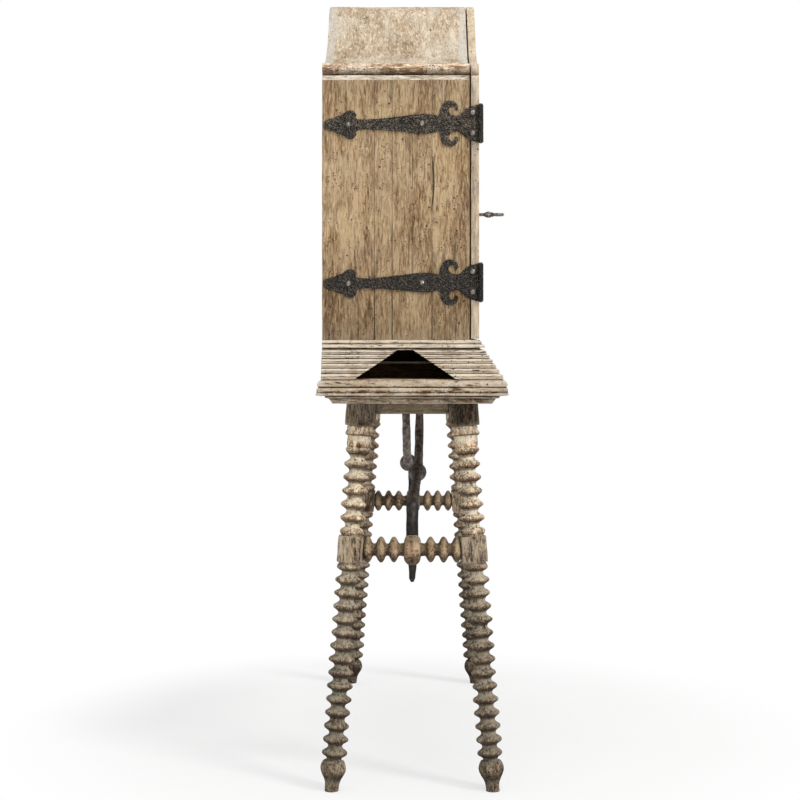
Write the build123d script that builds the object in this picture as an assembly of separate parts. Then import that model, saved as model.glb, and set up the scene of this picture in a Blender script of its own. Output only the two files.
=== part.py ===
from build123d import *
import math
import os

# A Spanish vargueno: a two-door cabinet with an ogee top, on a stand with splayed ring-turned legs.
# Frame: millimetres, +Z up, the doors face -Y, X runs along the width, the origin is on the floor
# under the middle of the whole piece.

# ------------------------------------------------------------------ driving dimensions: cabinet
TURNED_SIDES = 8              # flats round every turning
FORGED_SIDES = 10             # flats round knuckles and rings of iron
CABINET_WIDTH = 1080.0        # over the two end panels
CABINET_DEPTH = 330.0         # end panels, without the doors
END_HEIGHT = 582.0            # cabinet underside to the foot of the shoulder fillet
CROWN_HEIGHT = 821.0          # cabinet underside to the flat crown of the top
END_THICK = 20.0
END_JOINTS = (0.354, 0.475, 0.745)   # glue joints of the end panel, as shares of its depth from the back
BOTTOM_THICK = 18.0
BACK_THICK = 12.0
BACK_BOARD_COUNT = 5
TOP_THICK = 16.0

FILLET_RISE = 11.0            # sloping fillet at the head of each end panel
FILLET_RUN = 6.0
BEAD_R = 14.5                 # round shoulder bead that lies on the end panel
BEAD_TONGUE = 30.0            # flat tongue of the bead board under the top board
OGEE_HOLLOW_R = 315.0         # hollow lower curve of the top
OGEE_ROUND_R = 197.0          # round upper curve of the top
OGEE_ANGLE = 48.0             # slope of the straight run between the two curves, degrees

SHELF_SHARES = (0.344, 0.687)  # undersides of the shelves, as shares of the end panel's height
SHELF_THICK = 18.0
SHELF_SETBACK = 30.0          # shelf front edge behind the end panel's front edge
CLEAT_WIDE = 18.0
CLEAT_TALL = 24.0
CLEAT_SHORTER = 20.0          # cleat front end behind the shelf front edge

# ------------------------------------------------------------------ driving dimensions: doors
DOOR_THICK = 18.0
DOOR_GAP = 3.5                # open joint between end panels and doors
DOOR_SIDE_CLEAR = 0.6         # door edge inside the plane of the end panel
DOOR_FOOT_CLEAR = 3.0
DOOR_MEETING_GAP = 3.0
DOOR_BOARD_COUNT = 3
BOARD_GROOVE = 3.0            # depth and half width of the V joints between boards
LEDGE_WIDE = 70.0             # ledges across the inner face of each door
LEDGE_THICK = 2.6
LEDGE_FROM_FOOT = 60.0
LEDGE_FROM_HEAD = 102.0       # upper ledge's underside below the end panel's head
LEDGE_INSET = 60.0

# ------------------------------------------------------------------ driving dimensions: hinges
HINGE_FROM_FOOT = 129.0       # middle of the lower strap above the cabinet underside
HINGE_FROM_HEAD = 98.0        # middle of the upper strap below the end panel's head
PLATE = 3.0                   # forged plate thickness
BARREL_R = 6.0
BARREL_LENGTH = 84.0
PIN_R = 3.0
PIN_FIT = 0.05                # radial clearance of the pin in its knuckles
PIN_HEAD_R = 4.6
PIN_HEAD = 3.0
KNUCKLE_GAP = 0.4
AXIS_OUT = 6.3                # hinge axis outside the end panel's face
AXIS_FRONT = 3.2              # hinge axis in front of the door's face
LEAF_CLEAR = 0.6
STRAP_LENGTH = 351.0          # hinge axis to the strap's point
SPEAR_TIP = 336.0             # stations along the strap, from the hinge axis
SPEAR_CUSP = 319.0
SPEAR_BARB = 291.0
SPEAR_BACK = 278.0
SPEAR_NECK = 272.0
STRAP_WAIST = 243.0
STRAP_BELLY = 130.0
STRAP_SHOULDER = 95.0
HEAD_NECK = 50.0
HEAD_FLARE = 24.0
TIP_HALF = 14.0               # half widths at those stations
CUSP_HALF = 19.5
BARB_HALF = 32.5
BACK_HALF = 24.5
NECK_HALF = 11.0
BELLY_HALF = 22.5
SHOULDER_HALF = 16.5
HEAD_NECK_HALF = 17.0
HEAD_FLARE_HALF = 37.0
SCROLL_R = 21.5               # C scrolls beside the head
SCROLL_EYE_R = 9.0
SCROLL_U = 69.0
SCROLL_V = 30.0
SCROLL_MOUTH = 9.0
OVERLAY = 2.0                 # small fan plate riveted over the head
OVERLAY_MARGIN = 5.0
RIVET_R = 7.5                 # forged rivet heads
RIVET_TOP_R = 4.2
RIVET_TALL = 4.2
RIVET_SIDES = 6
STRAP_RIVETS = (296.0, 132.0)
HEAD_RIVET_U = 18.5
HEAD_RIVET_V = 22.5
LEAF_LENGTH = 118.0           # matching leaf on the door's face
LEAF_RIVETS = (30.0, 84.0)

# ------------------------------------------------------------------ driving dimensions: lock and key
LOCK_SHARE = 0.546            # key axis, as a share of the end panel's height
LOCK_BACKSET = 38.0           # key axis from the meeting edge
KEY_REACH = 86.0              # key beyond the door's face
KEY_SHANK_R = 4.0
KEY_COLLAR_R = 8.0
KEY_COLLAR_AT = 44.0          # collar centre beyond the door's face
KEY_COLLAR_HALF = 8.0
KEY_NECK_R = 5.2
KEY_BOW_R = 15.0              # ring of the bow, to the middle of its wire
KEY_BOW_WIRE = 3.4
KEY_BIT_LONG = 11.0
KEY_BIT_TALL = 12.0
KEY_BIT_THICK = 3.0
KEY_FIT = 0.5
ESCUTCHEON_TALL = 64.0
ESCUTCHEON_WIDE = 38.0
ESCUTCHEON_THICK = 2.0
LOCK_WIDE = 70.0
LOCK_TALL = 60.0
LOCK_DEEP = 20.0
LOCK_WALL = 2.0
BOLT_TALL = 16.0
BOLT_THICK = 8.0
BOLT_LONG = 38.0
BOLT_THROW = 12.0
BOLT_FIT = 0.3
KEEPER_LONG = 22.0            # keeper for the bolt on the other door
KEEPER_WALL = 3.0
KEEPER_CLEAR = 1.5

# ------------------------------------------------------------------ driving dimensions: stand
STAND_HEIGHT = 913.0          # floor to the top of the stand's moulding
MOULDING_TALL = 54.0          # that moulding, top to soffit
MOULDING_EASE = 7.0           # rounded upper edge
MOULDING_ROUND = 20.0
MOULDING_BAND = 40.0          # foot of the flat band below the top
MOULDING_FILLET = 3.0
MOULDING_FILLET_OUT = 45.5    # fillet and lip beyond the faces of the leg blocks
MOULDING_LIP_OUT = 31.5
MOULDING_COVE = 0.35          # how far out the middle of the hollow lies between lip and fillet
STAND_TOP_THICK = 18.0
STAND_OVERHANG = 65.0         # moulding beyond the outer faces of the leg blocks
STAND_BEHIND = 10.0           # moulding behind the cabinet's back
LEG_HALF_X = 502.5            # leg axes from the middle, at the soffit
LEG_HALF_Y = 113.8
LEG_SPLAY = 0.0761            # outward run per millimetre of drop, both ways
BLOCK_WIDE = 66.0
BLOCK_DROP = 53.0             # top block below the soffit
MID_BLOCK_WIDE = 56.0
MID_BLOCK_RAISE = 1.0         # centre of the middle block above the stretcher
MID_BLOCK_TALL = 58.0
POMMEL = 5.0                  # turned-down corners of the blocks
BLOCK_SIDE_COUNT = 4
RING_R = 28.6
NECK_R = 15.5
UPPER_RING_COUNT = 5
LOWER_RING_COUNT = 14
UPPER_RINGS_FROM = 124.6      # neck of the first ring below the soffit
CUSHION_GAP = 12.4            # plain neck between rings and cushions
CUSHION_R = 27.5
CUSHION_TALL = 13.0
COLLAR_R = 28.5
COLLAR_GROOVE_R = 24.5
TOP_RING_R = 31.0
COLLAR_RISE = 14.6
BARREL_TURN_R = 28.0
FOOT_NECK_R = 22.5
FOOT_BULB_R = 28.4
FOOT_ANKLE_R = 15.2
FOOT_BULB_Z = 50.0            # heights above the floor
FOOT_NECK_Z = 67.5
FOOT_ANKLE_Z = 15.0
APRON_THICK = 22.0
APRON_SETBACK = 10.0          # apron behind the outer faces of the blocks
APRON_DROP = 25.0             # apron below the soffit

STRETCHER_SHARE = 0.617       # height of the stretchers, as a share of the soffit's
STRETCHER_DISC_R = 28.6
STRETCHER_NECK_R = 14.0
STRETCHER_PITCH = 29.3
STRETCHER_FIRST = 41.0
STRETCHER_DISC_HALF = 10.5
STRETCHER_BALL_R = 36.0
STRETCHER_BALL_HALF = 19.0
BALL_SHOULDER = 0.86          # radius halfway out, as a share of the middle
TENON_R = 9.0
TENON_LONG = 22.0
TENON_FIT = 0.05

FIADOR_WIDE = 22.0            # forged bar, chamfered square
FIADOR_CHAMFER = 5.0
FIADOR_RISE = 100.5           # low run above the stretcher, at the ball
FIADOR_CLIMB = 55.5           # rise of the low run towards the middle
FIADOR_BEND_LOW = 60.0
FIADOR_BEND_SHARE = 0.95      # radius of the upper bend, as a share of the height left above the run
BEND_LENGTH_COUNT = 5              # straight lengths that make up one bend
FIADOR_TIP = 72.0             # bar below the stretcher's axis
FIADOR_TIP_WIDE = 11.0
FIADOR_TAPER = 34.0
FIADOR_OFFSET = 17.0          # bars side by side under the rail
FIADOR_FIT = 0.2
KNOB_R = 22.5
KNOB_SHARE = 0.716            # place of the forged knob along the low run
KNOB_FLAT_R = 14.0
KNOB_HALF = 19.0
KNOB_SHOULDER = 0.93
RAIL_WIDE = 90.0
RAIL_TALL = 32.0
FIADOR_PLATE = (76.0, 96.0)
SCREW_HEAD_R = 5.0
SCREW_HEAD = 2.0

# ------------------------------------------------------------------ driving dimensions: plinth
SKIRT_RISE = 65.0             # reeded skirt on top of the stand
SKIRT_TOP_OUT = 10.5          # skirt's top beyond the face above it
SKIRT_FOOT_OUT = 54.5
SKIRT_BOARD = 22.0
SKIRT_RIB_COUNT = 6
RIB_NOSE = 3.2
NOTCH_TOP = 34.0              # wedge-shaped opening between the two skirt boards of an end
NOTCH_FOOT = 228.0
NOTCH_OFFSET = 15.4           # middle of the opening behind the stand's middle
QUIRK = 5.0                   # shadow gap between skirt and base moulding
QUIRK_DEEP = 9.0
BASE_RISE = 17.0              # base moulding below the cabinet
BASE_OUT = 12.5
BASE_STEP = 5.0
BASE_INNER = 46.0             # base moulding board under the cabinet
STOP_SETBACK = 92.0           # locating rails behind the notches, from the end panel's face
STOP_TALL = 37.0
STOP_THICK = 18.0
BEARER_WIDE = 40.0
BEARERS = (-260.0, 0.0, 260.0)

# ------------------------------------------------------------------ derived places
SHELF_LEVELS = [share * END_HEIGHT for share in SHELF_SHARES]
LEDGE_LEVELS = (LEDGE_FROM_FOOT, END_HEIGHT - LEDGE_FROM_HEAD)
HINGE_LEVELS = (HINGE_FROM_FOOT, END_HEIGHT - HINGE_FROM_HEAD)
LOCK_LEVEL = LOCK_SHARE * END_HEIGHT
STAND_UNDERSIDE = STAND_HEIGHT - MOULDING_TALL
APRON_BOTTOM = STAND_UNDERSIDE - APRON_DROP
STRETCHER_HEIGHT = STRETCHER_SHARE * STAND_UNDERSIDE
FIADOR_RUN_LOW = STRETCHER_HEIGHT + FIADOR_RISE
FIADOR_RUN_HIGH = FIADOR_RUN_LOW + FIADOR_CLIMB
FIADOR_HEAD = STAND_HEIGHT - STAND_TOP_THICK - RAIL_TALL - PLATE
TOTAL_DEPTH = STAND_BEHIND + CABINET_DEPTH + DOOR_GAP + DOOR_THICK + KEY_REACH
STAND_BACK_Y = TOTAL_DEPTH / 2
CABINET_BACK_Y = STAND_BACK_Y - STAND_BEHIND
CABINET_FRONT_Y = CABINET_BACK_Y - CABINET_DEPTH
DOOR_BACK_Y = CABINET_FRONT_Y - DOOR_GAP
DOOR_FRONT_Y = DOOR_BACK_Y - DOOR_THICK
BLOCK_HALF = BLOCK_WIDE / 2
STAND_HALF_X = LEG_HALF_X + BLOCK_HALF + STAND_OVERHANG
STAND_HALF_Y = LEG_HALF_Y + BLOCK_HALF + STAND_OVERHANG
STAND_Y = STAND_BACK_Y - STAND_HALF_Y
CABINET_Z = STAND_HEIGHT + SKIRT_RISE + QUIRK + BASE_RISE
END_X = CABINET_WIDTH / 2
LEG_STRETCH = math.sqrt(1 + 2 * LEG_SPLAY ** 2)
INNER_X = END_X - END_THICK
SHOULDER_Z = END_HEIGHT + FILLET_RISE
BEAD_X = END_X - FILLET_RUN - BEAD_R
BEAD_TOP_Z = SHOULDER_Z + 2 * BEAD_R


# ------------------------------------------------------------------ small helpers
def box(x0, x1, y0, y1, z0, z1):
    """A plain board between six planes."""
    return Pos((x0 + x1) / 2, (y0 + y1) / 2, (z0 + z1) / 2) * Box(x1 - x0, y1 - y0, z1 - z0)


def prism_y(face_xz, y0, y1):
    """Extrude a face drawn in x and z (as sketch x and y) from y0 back to y1."""
    plane = Plane(origin=(0, y1, 0), x_dir=(1, 0, 0), z_dir=(0, -1, 0))
    return extrude(plane * face_xz, amount=y1 - y0)


def prism_x(face_yz, x0, x1):
    """Extrude a face drawn in y and z from x0 to x1."""
    plane = Plane(origin=(x0, 0, 0), x_dir=(0, 1, 0), z_dir=(1, 0, 0))
    return extrude(plane * face_yz, amount=x1 - x0)


def polygon(points):
    """A face from corner points, drawn in the order given."""
    return make_face(Polyline(*points, close=True))


def mirror_x(shape):
    return mirror(shape, about=Plane.YZ)


def turned(profile, sides=TURNED_SIDES):
    """A turning about Z from (height, radius) stations, worked in flats between its corners."""
    angles = [2 * math.pi * (i + 0.5) / sides for i in range(sides)]
    rings = [[(r * math.cos(a), r * math.sin(a), h) for a in angles] for h, r in profile]
    faces = [Face(Wire.make_polygon(ring)) for ring in (rings[0], rings[-1])]
    for lower, upper in zip(rings, rings[1:]):
        for i in range(sides):
            j = (i + 1) % sides
            faces.append(Face(Wire.make_polygon([lower[i], lower[j], upper[j], upper[i]])))
    return Solid(Shell(faces))


# ------------------------------------------------------------------ ogee outline of the cabinet's top
def ogee_edges(inset, x_end):
    """Edges of the top's outline on the +X side from the bead to x_end, inset into the wood."""
    turn = math.radians(OGEE_ANGLE)
    rise_left = CROWN_HEIGHT - BEAD_TOP_Z - (OGEE_HOLLOW_R + OGEE_ROUND_R) * (1 - math.cos(turn))
    run = (OGEE_HOLLOW_R + OGEE_ROUND_R) * math.sin(turn) + rise_left / math.tan(turn)
    round_x = BEAD_X - run
    hollow_r = OGEE_HOLLOW_R + inset
    round_r = OGEE_ROUND_R - inset

    def hollow(angle):
        z = BEAD_TOP_Z + OGEE_HOLLOW_R - hollow_r * math.cos(angle)
        return (BEAD_X - hollow_r * math.sin(angle), z)

    def rounding(angle):
        z = CROWN_HEIGHT - OGEE_ROUND_R + round_r * math.cos(angle)
        return (round_x + round_r * math.sin(angle), z)

    return [
        ThreePointArc(hollow(0), hollow(turn / 2), hollow(turn)),
        Line(hollow(turn), rounding(turn)),
        ThreePointArc(rounding(turn), rounding(turn / 2), rounding(0)),
        Line(rounding(0), (x_end, CROWN_HEIGHT - inset)),
    ]


def bead_edges(side_x):
    """Edges from the end panel's face at side_x over the fillet and round the bead to its top."""
    return [
        Line((side_x, END_HEIGHT), (END_X - FILLET_RUN, SHOULDER_Z)),
        Line((END_X - FILLET_RUN, SHOULDER_Z), (BEAD_X, SHOULDER_Z)),
        ThreePointArc((BEAD_X, SHOULDER_Z), (BEAD_X + BEAD_R, SHOULDER_Z + BEAD_R), (BEAD_X, BEAD_TOP_Z)),
    ]


def closed_face(edges, tail):
    """A face from joined edges, closed through the tail points back to the first edge."""
    start = edges[0] @ 0
    end = edges[-1] @ 1
    points = [(end.X, end.Y)] + tail + [(start.X, start.Y)]
    return make_face(Curve() + edges + [Polyline(*points)])


def cabinet_z(shape):
    return Pos(0, 0, CABINET_Z) * shape


# ------------------------------------------------------------------ cabinet carcass
def end_boards():
    """The +X end panel, glued up from boards, with its sloping fillet along the head."""
    outline = polygon([
        (INNER_X, 0),
        (END_X, 0),
        (END_X, END_HEIGHT),
        (END_X - FILLET_RUN, SHOULDER_Z),
        (INNER_X, SHOULDER_Z),
    ])
    cuts = [0.0] + list(END_JOINTS) + [1.0]
    boards = []
    for near, far in zip(cuts, cuts[1:]):
        y1 = CABINET_BACK_Y - near * CABINET_DEPTH
        y0 = CABINET_BACK_Y - far * CABINET_DEPTH
        boards.append(cabinet_z(prism_y(outline, y0, y1)))
    return boards


def shoulder_bead():
    """The +X shoulder bead, with the flat tongue that the top board is nailed to."""
    tongue_x = BEAD_X - BEAD_TONGUE
    seat_z = BEAD_TOP_Z - TOP_THICK
    outline = make_face(Curve() + [
        ThreePointArc((BEAD_X, SHOULDER_Z), (BEAD_X + BEAD_R, SHOULDER_Z + BEAD_R), (BEAD_X, BEAD_TOP_Z)),
        Polyline((BEAD_X, BEAD_TOP_Z), (BEAD_X, seat_z), (tongue_x, seat_z), (tongue_x, SHOULDER_Z),
                 (BEAD_X, SHOULDER_Z)),
    ])
    return cabinet_z(prism_y(outline, CABINET_FRONT_Y, CABINET_BACK_Y))


def top_board():
    """The +X half of the ogee top, bent from one board, from the bead to the crown's middle joint."""
    outer = ogee_edges(0.0, 0.0)
    inner = ogee_edges(TOP_THICK, 0.0)
    outline = make_face(Curve() + outer + inner + [
        Line((BEAD_X, BEAD_TOP_Z), (BEAD_X, BEAD_TOP_Z - TOP_THICK)),
        Line((0, CROWN_HEIGHT), (0, CROWN_HEIGHT - TOP_THICK)),
    ])
    return cabinet_z(prism_y(outline, CABINET_FRONT_Y, CABINET_BACK_Y))


def back_boards(bead, top):
    """Upright boards that close the back between the end panels, up to the underside of the top."""
    lower = box(-INNER_X, INNER_X, CABINET_BACK_Y - BACK_THICK, CABINET_BACK_Y, 0, SHOULDER_Z)
    half = closed_face(ogee_edges(TOP_THICK, 0.0), [(0, SHOULDER_Z), (BEAD_X, SHOULDER_Z)])
    upper = prism_y(half, CABINET_BACK_Y - BACK_THICK, CABINET_BACK_Y)
    whole = cabinet_z(lower + upper + mirror_x(upper)) - bead - mirror_x(bead)
    width = 2 * INNER_X / BACK_BOARD_COUNT
    boards = []
    for i in range(BACK_BOARD_COUNT):
        x0 = -INNER_X + i * width
        slot = box(x0, x0 + width, CABINET_BACK_Y - BACK_THICK, CABINET_BACK_Y, 0, CROWN_HEIGHT)
        boards.append(whole & cabinet_z(slot))
    return boards


def cabinet_bottom():
    y1 = CABINET_BACK_Y - BACK_THICK
    return cabinet_z(box(-INNER_X, INNER_X, CABINET_FRONT_Y, y1, 0, BOTTOM_THICK))


def shelf(level):
    y0 = CABINET_FRONT_Y + SHELF_SETBACK
    y1 = CABINET_BACK_Y - BACK_THICK
    return cabinet_z(box(-INNER_X, INNER_X, y0, y1, level, level + SHELF_THICK))


def shelf_cleats():
    """Cleats on the end panels that carry the shelves."""
    y0 = CABINET_FRONT_Y + SHELF_SETBACK + CLEAT_SHORTER
    y1 = CABINET_BACK_Y - BACK_THICK
    cleats = []
    for level in SHELF_LEVELS:
        cleat = cabinet_z(box(INNER_X - CLEAT_WIDE, INNER_X, y0, y1, level - CLEAT_TALL, level))
        cleats += [cleat, mirror_x(cleat)]
    return cleats


# ------------------------------------------------------------------ doors
def door_slab():
    """The +X door's outline: it repeats the end panel, bead and ogee in the thickness of the door."""
    side_x = END_X - DOOR_SIDE_CLEAR
    meet_x = DOOR_MEETING_GAP / 2
    edges = bead_edges(side_x) + ogee_edges(0.0, meet_x)
    outline = closed_face(edges, [(meet_x, DOOR_FOOT_CLEAR), (side_x, DOOR_FOOT_CLEAR)])
    return cabinet_z(prism_y(outline, DOOR_FRONT_Y, DOOR_BACK_Y))


def at_keyhole(shape, y):
    """Place a part drawn about the key's axis."""
    return Pos(DOOR_MEETING_GAP / 2 + LOCK_BACKSET, y, CABINET_Z + LOCK_LEVEL) * shape


def keyhole():
    """Round hole with a slot below it for the bit, through door, escutcheon and lock front."""
    reach = DOOR_THICK + 2 * ESCUTCHEON_THICK + 2 * LOCK_WALL
    radius = KEY_SHANK_R + KEY_FIT
    hole = Rot(90, 0, 0) * turned([(-reach / 2, radius), (reach / 2, radius)])
    half = KEY_BIT_THICK / 2 + KEY_FIT
    slot = box(-half, half, -reach / 2, reach / 2, -KEY_BIT_TALL - KEY_FIT, 0)
    return at_keyhole(hole + slot, DOOR_BACK_Y - DOOR_THICK / 2)


def door_boards(with_keyhole):
    """The +X door's upright boards, with V joints on the face."""
    slab = door_slab()
    width = (END_X - DOOR_MEETING_GAP / 2) / DOOR_BOARD_COUNT
    height = CROWN_HEIGHT
    if with_keyhole:
        slab -= keyhole()
    boards = []
    for i in range(DOOR_BOARD_COUNT):
        x0 = DOOR_MEETING_GAP / 2 + i * width
        board = slab & cabinet_z(box(x0, x0 + width, DOOR_FRONT_Y, DOOR_BACK_Y, 0, height))
        joints = [x for x in (x0, x0 + width) if width / 2 < x < END_X - width / 2]
        for joint_x in joints:
            groove = polygon([
                (joint_x - BOARD_GROOVE, DOOR_FRONT_Y),
                (joint_x, DOOR_FRONT_Y + BOARD_GROOVE),
                (joint_x + BOARD_GROOVE, DOOR_FRONT_Y),
            ])
            board -= Pos(0, 0, CABINET_Z) * extrude(groove, amount=height)
        boards.append(board)
    return boards


def door_ledges():
    """Thin ledges across the +X door's inner face, in the open joint behind it."""
    ledges = []
    for level in LEDGE_LEVELS:
        x0 = DOOR_MEETING_GAP / 2 + LEDGE_INSET
        x1 = END_X - LEDGE_INSET
        ledge = box(x0, x1, DOOR_BACK_Y, DOOR_BACK_Y + LEDGE_THICK, level, level + LEDGE_WIDE)
        ledges.append(cabinet_z(ledge))
    return ledges


# ------------------------------------------------------------------ strap hinges
# A hinge is drawn flat: u runs from the hinge axis along the plate, v is up from the strap's middle.
def both_sides(half_outline):
    """A face from the upper half of an outline that starts and ends on the middle line."""
    lower = [(u, -v) for u, v in reversed(half_outline) if v > 0]
    return polygon(half_outline + lower)


def scroll(sign):
    """One C scroll beside the strap's head: a disc with an off-centre eye that opens to the head."""
    disc = Pos(SCROLL_U, sign * SCROLL_V) * RegularPolygon(SCROLL_R, FORGED_SIDES)
    eye_v = sign * (SCROLL_V - SCROLL_EYE_R / 3)
    eye = Pos(SCROLL_U - SCROLL_EYE_R / 3, eye_v) * RegularPolygon(SCROLL_EYE_R, RIVET_SIDES)
    mouth_u = SCROLL_U - SCROLL_R
    mouth = Pos(mouth_u, sign * (SCROLL_V - SCROLL_MOUTH)) * Rectangle(2 * SCROLL_R - SCROLL_EYE_R, SCROLL_MOUTH)
    return disc - eye - mouth


def head_outline(margin):
    """Fan-shaped head between its neck and the knuckles."""
    foot = AXIS_FRONT + BARREL_R + LEAF_CLEAR
    return [
        (HEAD_NECK + margin, 0),
        (HEAD_NECK - margin, HEAD_NECK_HALF - margin),
        (HEAD_FLARE + margin, HEAD_FLARE_HALF - HEAD_NECK_HALF / 2 - margin),
        (HEAD_FLARE - foot / 2, BARREL_LENGTH / 2 - margin),
        (foot, BARREL_LENGTH / 2 - margin),
        (foot, 0),
    ]


def strap_face():
    """The long strap: spear point, waisted bar, two C scrolls and the fan head."""
    bar = both_sides([
        (STRAP_LENGTH, 0),
        (STRAP_LENGTH - TIP_HALF / 3, 2 * TIP_HALF / 3),
        (SPEAR_TIP, TIP_HALF),
        (SPEAR_CUSP, CUSP_HALF),
        (SPEAR_BARB, BARB_HALF),
        (SPEAR_BACK, BACK_HALF),
        (SPEAR_NECK, NECK_HALF),
        (STRAP_WAIST, NECK_HALF),
        (STRAP_BELLY, BELLY_HALF),
        (STRAP_SHOULDER, SHOULDER_HALF),
        (HEAD_NECK, HEAD_NECK_HALF),
        (HEAD_NECK, 0),
    ])
    return bar + scroll(1) + scroll(-1) + both_sides(head_outline(0.0))


def leaf_face():
    """The door's leaf: the same fan head with a short spear."""
    spear = both_sides([
        (LEAF_LENGTH, 0),
        (LEAF_LENGTH - BELLY_HALF, BELLY_HALF),
        (LEAF_LENGTH - BELLY_HALF - NECK_HALF, NECK_HALF),
        (HEAD_NECK, HEAD_NECK_HALF),
        (HEAD_NECK, 0),
    ])
    return spear + both_sides(head_outline(0.0))


def knuckle(index):
    """One of the three knuckles on the hinge axis, numbered from the bottom."""
    each = BARREL_LENGTH / 3
    low = -BARREL_LENGTH / 2 + index * each
    trim = KNUCKLE_GAP / 2
    z0 = low + (trim if index else 0)
    z1 = low + each - (trim if index < 2 else 0)
    return extrude(Pos(0, 0, z0) * RegularPolygon(BARREL_R, FORGED_SIDES), amount=z1 - z0), z0, z1


def hinge_on_end(shape, level):
    """Place a hinge part drawn about its axis at the +X front corner of the cabinet."""
    return Pos(END_X + AXIS_OUT, DOOR_FRONT_Y - AXIS_FRONT, CABINET_Z + level) * shape


def pin_bore():
    return Cylinder(PIN_R + PIN_FIT, 2 * BARREL_LENGTH)


def strap():
    """Fixed leaf, lying on the end panel's face, with the upper and lower knuckles."""
    plane = Plane(origin=(-AXIS_OUT, 0, 0), x_dir=(0, 1, 0), z_dir=(1, 0, 0))
    body = extrude(plane * strap_face(), amount=PLATE)
    for index in (0, 2):
        barrel, z0, z1 = knuckle(index)
        web = box(-AXIS_OUT, -AXIS_OUT + PLATE, 0, AXIS_FRONT + BARREL_R + LEAF_CLEAR, z0, z1)
        body = body + barrel + web
    return body - pin_bore()


def leaf():
    """Moving leaf, lying on the door's face, with the middle knuckle."""
    plane = Plane(origin=(0, AXIS_FRONT, 0), x_dir=(-1, 0, 0), z_dir=(0, -1, 0))
    body = extrude(plane * leaf_face(), amount=PLATE)
    near = -BARREL_R - 2 * LEAF_CLEAR
    reach = box(near, 0, AXIS_FRONT - PLATE, AXIS_FRONT, -BARREL_LENGTH, BARREL_LENGTH)
    barrel, z0, z1 = knuckle(1)
    web = box(2 * near, 0, AXIS_FRONT - PLATE, AXIS_FRONT, z0, z1)
    return body - reach + barrel + web - pin_bore()


def hinge_pin():
    """Loose pin through the three knuckles, with a head at each end."""
    ends = BARREL_LENGTH / 2
    head = turned([(ends, PIN_HEAD_R), (ends + PIN_HEAD, PIN_HEAD_R)])
    return Cylinder(PIN_R, BARREL_LENGTH) + head + mirror(head, about=Plane.XY)


def rivet_head():
    """A forged eight-sided rivet head that stands on its plate, along +Z."""
    return turned([(0, RIVET_R), (RIVET_TALL, RIVET_TOP_R)], RIVET_SIDES)


def overlay():
    """Small fan plate over the strap's head."""
    plane = Plane(origin=(PLATE - AXIS_OUT, 0, 0), x_dir=(0, 1, 0), z_dir=(1, 0, 0))
    return extrude(plane * both_sides(head_outline(OVERLAY_MARGIN)), amount=OVERLAY)


def strap_rivets():
    """Rivets of one strap: two through the bar, two through the head and its overlay."""
    heads = []
    for u in STRAP_RIVETS:
        heads.append(Pos(PLATE - AXIS_OUT, u, 0) * Rot(0, 90, 0) * rivet_head())
    for v in (-HEAD_RIVET_V, HEAD_RIVET_V):
        heads.append(Pos(PLATE + OVERLAY - AXIS_OUT, HEAD_RIVET_U, v) * Rot(0, 90, 0) * rivet_head())
    return heads


def leaf_rivets():
    """Rivets of one door leaf."""
    y = AXIS_FRONT - PLATE
    spots = [(LEAF_RIVETS[1], 0), (LEAF_RIVETS[0], HEAD_RIVET_V), (LEAF_RIVETS[0], -HEAD_RIVET_V)]
    return [Pos(-u, y, v) * Rot(90, 0, 0) * rivet_head() for u, v in spots]


# ------------------------------------------------------------------ lock and key
def escutcheon():
    """Lozenge-ended plate on the door's face, pierced for the key."""
    half_w = ESCUTCHEON_WIDE / 2
    half_t = ESCUTCHEON_TALL / 2
    outline = polygon([(0, half_t), (half_w, half_t / 3), (half_w, -half_t / 3), (0, -half_t),
                       (-half_w, -half_t / 3), (-half_w, half_t / 3)])
    return at_keyhole(Rot(90, 0, 0) * extrude(outline, amount=ESCUTCHEON_THICK), DOOR_FRONT_Y) - keyhole()


def lock_case():
    """Rim lock box on the door's inner face: open inside for the bolt, with a hole for the key."""
    deep = LOCK_DEEP
    shell = box(-LOCK_BACKSET + BOLT_FIT, LOCK_WIDE - LOCK_BACKSET, 0, deep, -LOCK_TALL / 2, LOCK_TALL / 2)
    hollow = box(-LOCK_BACKSET + LOCK_WALL, LOCK_WIDE - LOCK_BACKSET - LOCK_WALL, LOCK_WALL, deep - LOCK_WALL,
                 -LOCK_TALL / 2 + LOCK_WALL, LOCK_TALL / 2 - LOCK_WALL)
    z0, z1, y0, y1 = bolt_span(BOLT_FIT)
    mouth = box(-LOCK_BACKSET - LOCK_WALL, -LOCK_BACKSET + 2 * LOCK_WALL, y0, y1, z0, z1)
    return at_keyhole(shell - hollow - mouth, DOOR_BACK_Y) - keyhole()


def bolt_span(clear):
    """Height and depth of the bolt relative to the key's axis, grown by a clearance."""
    z0 = KEY_BIT_TALL + KEY_FIT
    y0 = LOCK_WALL + BOLT_FIT
    return z0 - clear, z0 + BOLT_TALL - LOCK_WALL + clear, y0 - clear, y0 + BOLT_THICK + clear


def lock_bolt():
    """Sliding bolt above the key's axis, drawn back flush with the door's meeting edge."""
    z0, z1, y0, y1 = bolt_span(0.0)
    x0 = -LOCK_BACKSET + BOLT_FIT
    return at_keyhole(box(x0, x0 + BOLT_LONG, y0, y1, z0, z1), DOOR_BACK_Y)


def lock_keeper():
    """Staple on the other door's inner face that the thrown bolt enters."""
    z0, z1, y0, y1 = bolt_span(KEEPER_CLEAR)
    x1 = -LOCK_BACKSET - DOOR_MEETING_GAP - BOLT_FIT
    x0 = x1 - KEEPER_LONG
    block = box(x0, x1, 0, y1 + KEEPER_WALL, z0 - KEEPER_WALL, z1 + KEEPER_WALL)
    return at_keyhole(block - box(x0, x1, 0, y1, z0, z1), DOOR_BACK_Y)


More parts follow.
